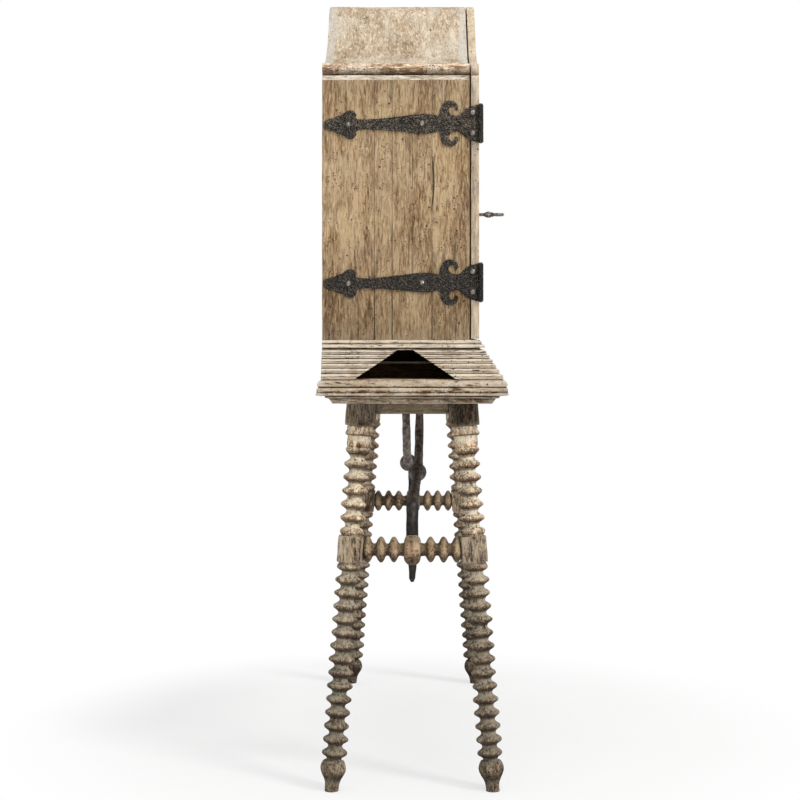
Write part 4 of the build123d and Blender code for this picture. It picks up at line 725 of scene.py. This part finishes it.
def flat_plate(half, thick, place, soft=0.0007):
    """A forged plate with eased upper edges from half of its outline; place(u, v, h) sets each point."""
    bm = bmesh.new()
    outline = list(half) + [(u, -v) for u, v in reversed(half[1:])]
    face = bm.faces.new([bm.verts.new((u / 1000, v / 1000, 0.0)) for u, v in outline])
    bm.normal_update()
    for g in bmesh.ops.extrude_face_region(bm, geom=[face])["geom"]:
        if isinstance(g, bmesh.types.BMVert):
            g.co.z = thick
    rim = [e for e in bm.edges if all(abs(v.co.z - thick) < 1e-9 for v in e.verts)]
    bmesh.ops.bevel(bm, geom=rim, offset=soft, segments=2, affect="EDGES", profile=0.6)
    split_wide_faces(bm)
    for v in bm.verts:
        v.co = place(*v.co)
    return bm


def dome(bm, centre, axis, radius, tall, seed):
    """A forged rivet head, slightly out of round."""
    local = random.Random(seed)
    n = Vector(axis)
    side = n.orthogonal().normalized()
    other = n.cross(side)
    rings, around = 5, 14
    bent = [1 + 0.09 * local.uniform(-1, 1) for _ in range(around)]
    layer = crest_layer(bm)
    rows = []
    for k in range(rings):
        a = math.radians(90 * k / rings)
        middle = Vector(centre) + n * (tall * math.sin(a))
        rows.append([])
        for t, off in zip(turns(around), bent):
            out = (side * math.cos(t) + other * math.sin(t)) * radius * math.cos(a) * off
            rows[-1].append(bm.verts.new(middle + out))
        # The crest rises from foot to crown; the rivet iron paints shade and a highlight from it.
        for v in rows[-1]:
            v[layer] = math.sin(a)
    tip = bm.verts.new(Vector(centre) + n * tall)
    tip[layer] = 1.0
    skin(bm, rows, caps=False)
    for i in range(around):
        bm.faces.new((rows[-1][i], rows[-1][(i + 1) % around], tip))
    bm.faces.new(rows[0][::-1])


def tube(bm, x, z0, z1, outer, inner=None):
    """A knuckle on a hinge's axis, or a solid pin where inner is None."""
    def ring(r, z):
        return [bm.verts.new((x + r * math.cos(a), AXIS_Y + r * math.sin(a), z)) for a in turns(24)]

    ease = 0.0006
    rows = [ring(outer - ease, z0), ring(outer, z0 + ease), ring(outer, z1 - ease), ring(outer - ease, z1)]
    skin(bm, rows, caps=inner is None)
    if inner:
        low, high = ring(inner, z0), ring(inner, z1)
        for a, b in ((high, low), (low, rows[0]), (rows[-1], high)):
            band(bm, a, b)


def web(bm, sign, xs, ys, zs):
    """A block that ties a knuckle to its plate, between two places along each axis."""
    xs = sorted(sign * x for x in xs)
    add_box(bm, (xs[0], ys[0], zs[0]), (xs[1], ys[1], zs[1]), BLOCK_SOFT)


def hinges():
    pins, fans, rivets = bmesh.new(), bmesh.new(), bmesh.new()
    for side, sign in SIDES:
        leaves, leaf_rivets = bmesh.new(), bmesh.new()
        x = sign * AXIS_X
        for level, z in LEVELS:
            def on_end(u, v, h):
                sag = 0.0034 * max(0.0, u - 0.10) / 0.25
                return Vector((sign * (END_X + h), AXIS_Y + u, z + v - sag))

            def on_door(u, v, h):
                return Vector((sign * (AXIS_X - u), DOOR_FRONT - h, z + v))

            half = KNUCKLE / 2
            strap = flat_plate(STRAP, PLATE, on_end)
            plate = (END_X, END_X + PLATE)
            for z0 in (z - PIN_HALF, z + half + PLAY):
                z1 = z0 + KNUCKLE - PLAY
                tube(strap, x, z0, z1, BARREL_R, BORE_R)
                web(strap, sign, plate, (AXIS_Y + 0.002, AXIS_Y + 0.012), (z0, z1))
            web(strap, sign, plate, (AXIS_Y + 0.0069, AXIS_Y + 0.0110), (z - half, z + half))
            wobble(strap, 0.0005, 60.0, z)
            piece(f"strap_{level}_{side}_iron", strap, "black", CARCASS, (f"strap_{level}_{side}",))

            leaf = flat_plate(LEAF, PLATE, on_door)
            zs = (z - half + PLAY, z + half - PLAY)
            tube(leaf, x, *zs, BARREL_R, BORE_R)
            web(leaf, sign, (AXIS_X - 0.004, AXIS_X - 0.012), (DOOR_FRONT - PLATE, DOOR_FRONT), zs)
            absorb(leaves, leaf)
            for u, v in LEAF_RIVETS:
                dome(leaf_rivets, on_door(u / 1000, v / 1000, PLATE), (0, -1, 0), 0.0074, 0.0048, int(u + v))

            tube(pins, x, z - PIN_HALF, z + PIN_HALF, PIN_R)
            for end in (-1, 1):
                dome(pins, (x, AXIS_Y, z + end * PIN_HALF), (0, 0, end), 0.0046, 0.003, 5)
            absorb(fans, flat_plate(FAN, FAN_THICK, lambda u, v, h: on_end(u, v, h + PLATE), 0.0006))
            for u, v, lift, r in STRAP_RIVETS:
                dome(rivets, on_end(u / 1000, v / 1000, lift), (sign, 0, 0), r / 1000, 0.0064, int(u + v * 3))
        piece(f"leaf_irons_{side}", leaves, "black", f"{side}_door", (f"leaves_{side}",))
        piece(f"leaf_rivet_heads_{side}", leaf_rivets, "rivet", f"{side}_door", (f"leaf_rivets_{side}",), 60)
    piece("hinge_pin_irons", pins, "rivet", CARCASS, ("hinge_pins",), 60)
    piece("strap_fans", fans, "black", CARCASS, ("strap_overlays",))
    piece("strap_rivet_heads", rivets, "rivet", CARCASS, ("strap_rivets",), 60)


# ------------------------------------------------------------------ key and lock
KEY_X = 0.0395
KEY_Z = CAB_Z + 0.546 * END_TALL
KEY_TURNING = ((-0.034, 0.0038), (-0.0334, 0.004), (0.0335, 0.004), (0.0345, 0.0048), (0.0375, 0.0062),
               (0.0410, 0.0076), (0.0450, 0.0082), (0.0490, 0.0080), (0.0522, 0.0066), (0.0540, 0.0048),
               (0.0546, 0.0060), (0.0556, 0.0066), (0.0568, 0.0064), (0.0576, 0.0050))
BOW_R = 0.0150
BOW_WIRE = 0.0032


def key_iron():
    bm = bmesh.new()
    add_lathe(bm, KEY_TURNING, lambda a, b, s: (KEY_X + a, DOOR_FRONT - s, KEY_Z + b), 28)
    bow_y = DOOR_FRONT - 0.0556 - BOW_R + 0.0016
    rows = []
    for t in turns(32):
        row = []
        for p in turns(12):
            r = BOW_R + BOW_WIRE * math.cos(p)
            row.append(bm.verts.new((KEY_X + 1.05 * r * math.cos(t), bow_y + 0.92 * r * math.sin(t),
                                     KEY_Z + 1.1 * BOW_WIRE * math.sin(p))))
        rows.append(row)
    skin(bm, rows + rows[:1], caps=False)
    add_box(bm, (KEY_X + 0.003, DOOR_FRONT + 0.023, KEY_Z - 0.0015),
            (KEY_X + 0.0115, DOOR_FRONT + 0.034, KEY_Z + 0.0015), 0.0004)
    piece("key_iron", bm, "key", "key_body", ("key",), 50)
    dressed("escutcheon", "black", "right_door", 0.0004)
    dressed("lock_case", "black", "right_door", 0.0006)
    dressed("lock_bolt", "black", "bolt_body", 0.0005)
    dressed("lock_keeper", "black", "left_door", 0.0006)


# ------------------------------------------------------------------ mouldings that run round
SKIRT_TALL = 0.065
SKIRT_TOP = STAND_TOP + SKIRT_TALL
FOOTPRINT = (END_X, DOOR_FRONT, BACK_Y)
MOULDING_X = LEG_X + 0.033
MOULDING_Y = LEG_Y + 0.033
WEDGE_Y = STAND_Y + 0.0154    # middle of the wedge-shaped opening in the end skirts
WEDGE_FOOT = 0.114            # its half width at the foot and at the head
WEDGE_HEAD = 0.017

# The stand's moulding as (out, depth below the top), the base moulding as (out, depth below the cabinet).
STAND_SECTION = ((0.0500, 0.0), (0.0550, 0.0011), (0.0590, 0.0034), (0.0618, 0.0066), (0.0630, 0.0104),
                 (0.0626, 0.0140), (0.0606, 0.0160), (0.0602, 0.0172), (0.0626, 0.0184), (0.0640, 0.0215),
                 (0.0642, 0.0290), (0.0656, 0.0312), (0.0654, 0.0338), (0.0610, 0.0350), (0.0468, 0.0362),
                 (0.0462, 0.0376), (0.0462, 0.0402), (0.0430, 0.0412), (0.0392, 0.0420), (0.0372, 0.0436),
                 (0.0346, 0.0476), (0.0322, 0.0512))
BASE_SECTION = ((-0.046, 0.0), (0.0, 0.0), (0.0035, 0.0012), (0.0052, 0.0038), (0.0052, 0.0070),
                (0.0040, 0.0088), (0.0080, 0.0094), (0.0112, 0.0108), (0.0125, 0.0132), (0.0125, 0.0158),
                (0.0112, 0.0170), (0.0015, 0.017), (0.0015, 0.022), (-0.046, 0.022))
# One reed of the skirt: (share of its height, push outwards).
NOSE = ((0.0, -0.0004), (0.10, 0.0036), (0.28, 0.0052), (0.46, 0.0044), (0.57, 0.0026), (0.65, 0.0036),
        (0.80, 0.0030), (0.90, -0.0010))


def mitre_run(outline, rectangle, side, step, jitter=0.0, closed=False):
    """Bar along one side of a rectangle, given by its half width and its front and back Y, with mitred ends.
    outline is (out, z). Unless the run is closed, the bars of the ends stop square at the back."""
    half_x, y_front, y_back = rectangle
    sign = -1 if side in ("front", "left") else 1
    across = side in ("front", "back")

    def place(u, v, s):
        if across:
            return (s * (half_x + u), (y_front if side == "front" else y_back) + sign * u, v)
        lo = y_front - u
        hi = y_back + (u if closed else 0.0)
        return (sign * (half_x + u), lo + (hi - lo) * (s + 1) / 2, v)

    share = step / half_x if across else step / (y_back - y_front) * 2
    bm = bmesh.new()
    add_prism(bm, outline, place, spread(-1.0, 1.0, share))
    if jitter:
        wobble(bm, jitter, 22.0, half_x + sign)
    return bm


def stand_mouldings():
    outline = [(-0.010, SOFFIT), (-0.010, STAND_TOP), (0.030, STAND_TOP)]
    outline += [(u, STAND_TOP - v) for u, v in STAND_SECTION] + [(0.0306, SOFFIT)]
    rectangle = (MOULDING_X, STAND_Y - MOULDING_Y, STAND_Y + MOULDING_Y)
    for side in ("front", "back", "right", "left"):
        bm = mitre_run(outline, rectangle, side, 0.02, 0.0011, closed=True)
        mat = "stand_x" if side in ("front", "back") else "stand_y"
        piece(f"stand_moulding_{side}", bm, mat, CARCASS, (f"moulding_{side}",), 28)
        dressed(f"apron_{side}", "apron", CARCASS, 0.0015)


def skirt_outline():
    """Reeded skirt: round noses between dark grooves on a leaning board."""
    spots = (0.0, 0.150, 0.300, 0.455, 0.620, 0.790, 1.0)
    outline = []
    for low, high in zip(spots, spots[1:]):
        for share, push in NOSE:
            t = low + (high - low) * share
            outline.append((0.0086 + 0.0430 * t + push, SKIRT_TOP - SKIRT_TALL * t))
    return outline + [(0.0525, STAND_TOP), (0.0325, STAND_TOP), (-0.0115, SKIRT_TOP)]


def cut_wedge(bm, sign):
    """Opens the wedge in the skirt of one end, closes its cut faces and eases their outer edges."""
    for way in (-1, 1):
        a = Vector((0, WEDGE_Y + way * WEDGE_FOOT, STAND_TOP))
        b = Vector((0, WEDGE_Y + way * WEDGE_HEAD, SKIRT_TOP))
        along = (b - a).normalized()
        slice_at(bm, a, Vector((0, along.z, -along.y)) * way)

    def inside(face):
        c = face.calc_center_median()
        half = WEDGE_FOOT + (WEDGE_HEAD - WEDGE_FOOT) * (c.z - STAND_TOP) / SKIRT_TALL
        return abs(c.y - WEDGE_Y) < half - 1e-5

    bmesh.ops.delete(bm, geom=[f for f in bm.faces if inside(f)], context="FACES")
    bmesh.ops.remove_doubles(bm, verts=bm.verts, dist=1e-6)
    rim = [e for e in bm.edges if e.is_boundary]
    bmesh.ops.holes_fill(bm, edges=rim, sides=0)
    bm.normal_update()
    rim = [e for e in rim if e.is_valid and all(v.co.x * sign > END_X for v in e.verts)]
    bmesh.ops.bevel(bm, geom=rim, offset=0.0022, segments=1, affect="EDGES", material=1, clamp_overlap=True)
    split_wide_faces(bm)


def plinth():
    outline = skirt_outline()
    bm = mitre_run(outline, FOOTPRINT, "front", 0.02, 0.0007)
    piece("skirt_front_reeded", bm, "pale_x", CARCASS, ("skirt_front",), 28)
    for side, sign in SIDES:
        bm = mitre_run(outline, FOOTPRINT, side, 0.008)
        cut_wedge(bm, sign)
        wobble(bm, 0.0006, 22.0, 3.0)
        piece(f"skirts_{side}_reeded", bm, "pale_y", CARCASS, (f"skirts_{side}",), 28, "fillet")
    outline = [(u, CAB_Z - v) for u, v in BASE_SECTION]
    for side in ("front", "right", "left"):
        bm = mitre_run(outline, FOOTPRINT, side, 0.015, 0.0005)
        mat = "pale_x" if side == "front" else "pale_y"
        piece(f"base_moulding_{side}", bm, mat, CARCASS, (f"base_{side}",), 30)


def locating_rails():
    """The two low rails on the stand's top, dark with painted shade, each with a worn pale arris towards the
    opening that carries a painted highlight.
    """
    lo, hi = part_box("locating_rails")
    bm = bmesh.new()
    outer, top, foot, ease = hi.x, hi.z, lo.z, 0.0042
    inner = outer - 0.018
    section = [(inner, foot), (outer, foot), (outer, top - ease), (outer - ease, top), (inner, top)]
    arris = 2
    for sign in (-1, 1):
        rows = [[bm.verts.new((sign * x, y, z)) for x, z in section] for y in spread(lo.y, hi.y, 0.015)]
        for face in skin(bm, rows)[arris::len(section)]:
            face.material_index = 1
    wobble(bm, 0.0006, 30.0, 2.0)
    piece("locating_rail_pair", bm, "rail", CARCASS, ("locating_rails",), second="rail_edge")


# ------------------------------------------------------------------ turned legs and stretchers
ALONG_LEG = math.sqrt(1 + 2 * SPLAY ** 2)   # length of leg per metre of height


def leg_frame(sx, sy):
    """Maps leg coordinates (x, y, distance below the soffit along the leg) into the shared frame."""
    up = Vector((-sx * SPLAY, -sy * SPLAY, 1)).normalized()
    x_dir = Vector((1, 0, sx * SPLAY)).normalized()
    x_dir = (x_dir - up * x_dir.dot(up)).normalized()
    y_dir = up.cross(x_dir)
    origin = Vector((sx * LEG_X, STAND_Y + sy * LEG_Y, SOFFIT))
    return lambda x, y, s: origin + x_dir * x + y_dir * y - up * s


def down(z):
    """Distance along a leg from the soffit to the height z."""
    return (SOFFIT - z) * ALONG_LEG


# Half sections of a ring: (share of its half width, share of its height over the neck).
LENS = ((0.0, 1.0), (0.12, 0.975), (0.24, 0.90), (0.37, 0.755), (0.49, 0.575), (0.59, 0.38), (0.68, 0.19),
        (0.78, 0.06), (0.86, 0.015), (0.95, 0.0))
RING = ((0.0, 1.0), (0.10, 0.99), (0.20, 0.935), (0.31, 0.80), (0.43, 0.58), (0.55, 0.35), (0.68, 0.16),
        (0.82, 0.045), (0.95, 0.005))
RING_R = 0.0290
NECK_R = 0.0160
BLOCK_HALF = 0.029            # half the height of the stretcher's block on a leg
LEG_MID = down(STRETCH_Z + 0.001)
# A leg's head and the swelling beside its block as (distance, radius), its foot as (height, radius).
LEG_HEAD = ((0.030, 0.0250), (0.0530, 0.0272), (0.0545, 0.0276), (0.0552, 0.0292), (0.0580, 0.0292),
            (0.0610, 0.0284), (0.0640, 0.0286), (0.0665, 0.0300), (0.0690, 0.0316), (0.0715, 0.0322),
            (0.0738, 0.0312), (0.0752, 0.0288), (0.0760, 0.0268), (0.0790, 0.0264), (0.0860, 0.0270),
            (0.0950, 0.0266), (0.1000, 0.0256), (0.1022, 0.0250), (0.1032, 0.0262), (0.1050, 0.0282),
            (0.1085, 0.0288), (0.1120, 0.0266), (0.1160, 0.0222), (0.1200, 0.0184), (0.1235, 0.0168))
SWELLING = ((0.0020, 0.0235), (0.0060, 0.0262), (0.0110, 0.0276), (0.0150, 0.0256), (0.0185, 0.0205),
            (0.0205, NECK_R))
LEG_FOOT = ((0.0620, 0.0248), (0.0565, 0.0273), (0.0500, 0.0284), (0.0430, 0.0274), (0.0350, 0.0240),
            (0.0270, 0.0197), (0.0190, 0.0166), (0.0110, 0.0153), (0.0030, 0.0152), (-0.004, 0.0150))
# How far from its end a block is cut back, and the share of its corners left there.
EASED = ((0.0, 0.80), (0.0018, 0.90), (0.0045, 0.975), (0.009, 1.0))


def disc(centre, radius, neck, half, shape=RING):
    """One ring with the coves that run out of it, as (distance, radius) stations."""
    upper = [(centre - half * t, neck + (radius - neck) * k) for t, k in reversed(shape)]
    return upper + [(centre + half * t, neck + (radius - neck) * k) for t, k in shape[1:]]


def ring_run(start, end, count, local):
    """Evenly spaced rings, each worn a little differently."""
    pitch = (end - start) / count
    out = []
    for i in range(count):
        worn = RING_R * (1 - 0.035 * local.random())
        out += disc(start + (i + 0.5) * pitch, worn, NECK_R, pitch * 0.5)
    return out


def leg_block(bm, put, top, low, half):
    """A square block on a leg between two distances, its corners cut back towards both ends."""
    stations = [(top + d, share) for d, share in EASED]
    stations += [(s, 1.0) for s in spread(top + 0.009, low - 0.009, 0.012)[1:]]
    stations += [(low - d, share) for d, share in reversed(EASED[:-1])]
    layer = crest_layer(bm)
    rows = []
    for s, share in stations:
        limit = half * math.sqrt(2) * share
        row = []
        for a in (k * math.pi / 2 for k in range(4)):
            turn = Vector((math.cos(a), math.sin(a)))
            for t in (-0.93, -0.8, -0.45, 0.0, 0.45, 0.8, 0.93):
                p = half * (turn + t * Vector((-turn.y, turn.x)))
                p *= min(1.0, limit / p.length)
                row.append(bm.verts.new(put(p.x, p.y, s)))
                row[-1][layer] = 0.55
        rows.append(row)
    skin(bm, rows, material=1)


def legs():
    upper, lower = LEG_MID - BLOCK_HALF, LEG_MID + BLOCK_HALF
    foot = down(0.0675)
    for name, sx, sy in (("front_left", -1, -1), ("front_right", 1, -1), ("back_left", -1, 1),
                         ("back_right", 1, 1)):
        local = random.Random(name)
        put = leg_frame(sx, sy)
        bm = bmesh.new()
        profile = list(LEG_HEAD) + ring_run(0.1246, upper - 0.0254, 5, local)
        profile += [(upper - d, r) for d, r in reversed(SWELLING)] + [(LEG_MID, 0.0225)]
        profile += [(lower + d, r) for d, r in SWELLING] + ring_run(lower + 0.0254, foot - 0.001, 14, local)
        profile += [(foot + 0.0005, 0.0190), (foot + 0.0015, 0.0222)] + [(down(z), r) for z, r in LEG_FOOT]
        add_lathe(bm, profile, put, 44, 0.02, name)
        leg_block(bm, put, -0.045, 0.053, 0.033)
        leg_block(bm, put, upper, lower, 0.028)
        slice_at(bm, (0, 0, 0), (0, 0, -1), clear=True)
        slice_at(bm, (0, 0, STAND_TOP - TOP_BOARD - 0.0001), (0, 0, 1), clear=True)
        on_floor = {v: v.co.copy() for v in bm.verts if v.co.z < 1e-6}
        wobble(bm, 0.0011, 55.0, sx + 2 * sy)
        for v in bm.verts:
            v.co = on_floor.get(v, v.co)
            v.co.z = min(max(v.co.z, 0.0), STAND_TOP - TOP_BOARD)
        piece(f"leg_{name}_turned", bm, "turned", CARCASS, (f"leg_{name}",), 50, "block")


def stretchers():
    block_y = LEG_Y + SPLAY * (SOFFIT - STRETCH_Z) - 0.028
    side = [(0.019 * math.sin(math.radians(a)), 0.0145 + 0.0215 * math.cos(math.radians(a)) ** 0.8)
            for a in (0.0, 18.0, 36.0, 52.0, 66.0, 78.0, 89.0)]
    for k in range(3):
        side += disc(0.041 + k * 0.0293, RING_R, 0.0138, 0.0146, LENS)
    side += [(block_y - 0.001, 0.0142), (block_y + 0.012, 0.0142)]
    profile = [(-s, r) for s, r in reversed(side)] + side[1:]
    for name, sx in reversed(SIDES):
        bm = bmesh.new()
        add_lathe(bm, profile, lambda a, b, s: (sx * STRETCH_X + a, STAND_Y + s, STRETCH_Z + b), 40, 0.015,
                  name)
        wobble(bm, 0.0009, 55.0, sx * 3.0)
        piece(f"stretcher_{name}_turned", bm, "stretcher", CARCASS, (f"stretcher_{name}",), 50)


# ------------------------------------------------------------------ forged fiadores
IRON_OFF = 0.017              # how far off the stand's middle an iron meets its plate
IRON_RUN = math.hypot(STRETCH_X, IRON_OFF)
IRON_POINT = STRETCH_Z - 0.072
RUN_LOW = STRETCH_Z + 0.1005  # height of the run over the stretcher
RUN_HIGH = RUN_LOW + 0.0555   # and near the middle
IRON_HEAD = STAND_TOP - TOP_BOARD - 0.032 - 0.003
RUN_SLOPE = math.atan2(RUN_HIGH - RUN_LOW, IRON_RUN)
FOOT_BEND = 0.060
HEAD_BEND = 0.95 * (IRON_HEAD - RUN_HIGH)
KNOB = 0.716 * IRON_RUN
POINT_TALL = 0.055


def iron_path():
    """(run, z) points of an iron's middle line, up from its point, along the run and up to its head; and
    where the head's bend starts."""
    half = math.tan((math.pi / 2 - RUN_SLOPE) / 2)
    t1, t2 = FOOT_BEND * half, HEAD_BEND * half
    slope = math.degrees(RUN_SLOPE)
    path = [(0.0, z) for z in spread(IRON_POINT, RUN_LOW - t1, 0.007)]
    path += arc((FOOT_BEND, RUN_LOW - t1), FOOT_BEND, 180, 90 + slope, 10)[1:]
    x0, z0 = t1 * math.cos(RUN_SLOPE), RUN_LOW + t1 * math.sin(RUN_SLOPE)
    x1, z1 = IRON_RUN - t2 * math.cos(RUN_SLOPE), RUN_HIGH - t2 * math.sin(RUN_SLOPE)
    path += [(x0 + (x1 - x0) * t, z0 + (z1 - z0) * t) for t in spread(0.0, 1.0, 0.03)[1:]]
    path += arc((IRON_RUN - HEAD_BEND, RUN_HIGH + t2), HEAD_BEND, -90 + slope, 0, 18)[1:]
    return path + [(IRON_RUN, z) for z in spread(RUN_HIGH + t2, IRON_HEAD, 0.01)[1:]], IRON_RUN - t2


def iron_half(s, z, bend_start):
    """Half thickness of an iron at a point of its path."""
    tip = z - IRON_POINT if s < 1e-6 else 1.0
    if s > bend_start:
        wide = 0.0110 - 0.0013 * min(1.0, (z - RUN_HIGH) / 0.15)
    elif tip < POINT_TALL:
        wide = 0.0062 + (0.0104 - 0.0062) * (tip / POINT_TALL)
        if tip < 0.006:
            wide *= min(1.0, 0.45 + tip / 0.009)
    else:
        wide = 0.0112 + (0.0024 if s < 0.1 and 0.02 < z - STRETCH_Z < 0.14 else 0.0)
    return wide + (0.0035 * math.exp(-((s - KNOB) / 0.040) ** 2) if s > 0.1 else 0.0)


def fiadores():
    path, bend_start = iron_path()
    up = Vector((0, 0, 1))
    foot = Vector((STRETCH_X, 0, 0))
    along = Vector((-STRETCH_X / IRON_RUN, IRON_OFF / IRON_RUN, 0))
    across = Vector((IRON_OFF / IRON_RUN, STRETCH_X / IRON_RUN, 0))
    knob_at = foot + along * KNOB + up * (RUN_LOW + KNOB * math.tan(RUN_SLOPE))
    run_dir = (along * math.cos(RUN_SLOPE) + up * math.sin(RUN_SLOPE)).normalized()
    knob_up = run_dir.cross(across).normalized()
    knob = [(0.0245 * math.sin(math.radians(a)), 0.0060 + 0.0165 * math.cos(math.radians(a)) ** 0.75)
            for a in (-88, -72, -56, -40, -20, 0, 20, 40, 56, 72, 88)]
    for name, turn in SIDES:
        bm = bmesh.new()
        rows = []
        for k, (s, z) in enumerate(path):
            a, b = path[max(k - 1, 0)], path[min(k + 1, len(path) - 1)]
            d = Vector((b[0] - a[0], 0, b[1] - a[1])).normalized()
            wide = iron_half(s, z, bend_start)
            middle = foot + along * s + up * z
            row = []
            for t in turns(24, 0.5):
                c, sn = math.cos(t), math.sin(t)
                r = wide / max(abs(c), abs(sn), (abs(c) + abs(sn)) / 1.33)
                row.append(bm.verts.new(middle + (along * -d.z + up * d.x) * (r * c) + across * (r * sn)))
            rows.append(row)
        skin(bm, rows)
        add_lathe(bm, knob, lambda a, b, s: knob_at + run_dir * s + across * a + knob_up * b, 28, 0.05, 9)
        for v in bm.verts:
            v.co = Vector((v.co.x * turn, v.co.y * turn + STAND_Y, v.co.z))
        wobble(bm, 0.0016, 38.0, 4.0 * turn)
        piece(f"fiador_{name}_forged", bm, "brown", CARCASS, (f"fiador_{name}",), 60)


# ------------------------------------------------------------------ build
end_panels()
top_boards()
beads()
doors()
hinges()
key_iron()
stand_mouldings()
plinth()
legs()
stretchers()
fiadores()
for plain in ("cabinet_bottom", "shelves", "shelf_cleats", "plinth_back", "plinth_bearers", "base_back",
              "stand_top", "stand_rail"):
    dressed(plain, "plain")
locating_rails()
dressed("back_boards", "plain_z")
for iron in ("fiador_plate", "fiador_screws"):
    dressed(iron, "black", CARCASS, 0.0006)

# ------------------------------------------------------------------ floor, light and camera
SUN = 1.35
SUN_WIDTH = 13.0              # in degrees
SKY_LOW = 0.12
SKY_HIGH = 0.74
FLOOR_HALF = 40.0
WHITE = (1, 1, 1, 1)
SENSOR = 36.0
PHOTO = 800.0                 # width of the photograph, and the focal length and shifts below, in its pixels
FOCAL = 1699.0
SHIFT_X = -16.3
SHIFT_Y = -76.0


def floor_material():
    """Pale floor that takes the shadows near the stand and runs out into plain white."""
    g = Graph("floor")
    grain = g.noise(g.object, 3.0, 3)
    colour = g.ramp(grain, (0.3, srgb(243, 243, 243)), (0.7, srgb(246, 246, 246)))
    rough = g.ramp(grain, (0.3, 0.88), (0.7, 0.95))
    g.finish(colour, rough, g.bump(grain, 0.1, 0.001), Specular_IOR_Level=0.1)
    spot = g.parts(g.object)
    away = g.math("SQRT", g.add(g.math("POWER", spot["X"], 2.0), g.math("POWER", spot["Y"], 2.0)))
    far = g.ramp(g.mul(away, 0.5), (0.10, 0.55), (0.32, 0.66), (0.56, 1.0), mode="EASE")
    glow = g.make("Emission", Color=WHITE, Strength=1.0)
    mix = g.make("MixShader", Fac=g.mul(far, g.make("LightPath").outputs["Is Camera Ray"]))
    out = next(n for n in g.nodes if n.type == "OUTPUT_MATERIAL")
    g.links.new(g.shader.outputs[0], mix.inputs[1])
    g.links.new(glow.outputs[0], mix.inputs[2])
    g.links.new(mix.outputs[0], out.inputs["Surface"])
    return g.mat


def aim(lamp, way):
    """Turns a lamp to shine along a direction."""
    lamp.rotation_euler = way.to_track_quat("-Z", "Y").to_euler()


def sky():
    """White to the camera, and a soft light that brightens with height."""
    world = bpy.data.worlds.new("studio")
    bpy.context.scene.world = world
    world.use_nodes = True
    nodes, links = world.node_tree.nodes, world.node_tree.links
    back, seen = nodes["Background"], nodes.new("ShaderNodeBackground")
    back.inputs["Strength"].default_value = 1.0
    seen.inputs["Strength"].default_value = 1.0
    seen.inputs["Color"].default_value = WHITE
    where, split, ramp, path, mix = (nodes.new("ShaderNode" + kind) for kind in
                                     ("TexCoord", "SeparateXYZ", "ValToRGB", "LightPath", "MixShader"))
    low, high = ramp.color_ramp.elements
    low.position, low.color = 0.0, (SKY_LOW,) * 3 + (1.0,)
    high.position, high.color = 0.95, (SKY_HIGH,) * 3 + (1.0,)
    for a, b in ((where.outputs["Generated"], split.inputs[0]), (split.outputs["Z"], ramp.inputs["Fac"]),
                 (ramp.outputs["Color"], back.inputs["Color"]), (back.outputs[0], mix.inputs[1]),
                 (path.outputs["Is Camera Ray"], mix.inputs[0]), (seen.outputs[0], mix.inputs[2]),
                 (mix.outputs[0], nodes["World Output"].inputs["Surface"])):
        links.new(a, b)


def studio():
    mesh = bpy.data.meshes.new("floor")
    corners = [(x * FLOOR_HALF, y * FLOOR_HALF, 0) for x, y in ((-1, -1), (1, -1), (1, 1), (-1, 1))]
    mesh.from_pydata(corners, [], [(0, 1, 2, 3)])
    mesh.materials.append(floor_material())
    floor = placed("floor", mesh)
    sun = bpy.data.lights.new("key_sun", "SUN")
    sun.energy = SUN
    sun.angle = math.radians(SUN_WIDTH)
    sun.color = (1.0, 0.99, 0.97)
    aim(placed("key_sun", sun), Vector((0.62, 0.80, -1.0)))
    for name, place, target, size, power in (("front_box", (-3.2, -1.5, 2.6), (0.0, 0.0, 1.2), 1.8, 17.0),
                                             ("top_box", (-1.0, 0.0, 3.9), (0.0, 0.0, 1.0), 1.6, 18.0)):
        data = bpy.data.lights.new(name, "AREA")
        data.shape = "SQUARE"
        data.size = size
        data.energy = power
        lamp = placed(name, data)
        lamp.location = place
        aim(lamp, Vector(target) - Vector(place))
    sky()


def camera():
    data = bpy.data.cameras.new("camera")
    data.sensor_width = SENSOR
    data.lens = SENSOR * FOCAL / PHOTO
    data.shift_x = SHIFT_X / PHOTO
    data.shift_y = SHIFT_Y / PHOTO
    obj = placed("camera", data)
    obj.location = (-4.340, 0.00295, 1.036)
    obj.rotation_euler = (math.radians(90), 0, math.radians(-90))
    bpy.context.scene.camera = obj


studio()
camera()
bpy.context.scene.view_settings.view_transform = "Standard"
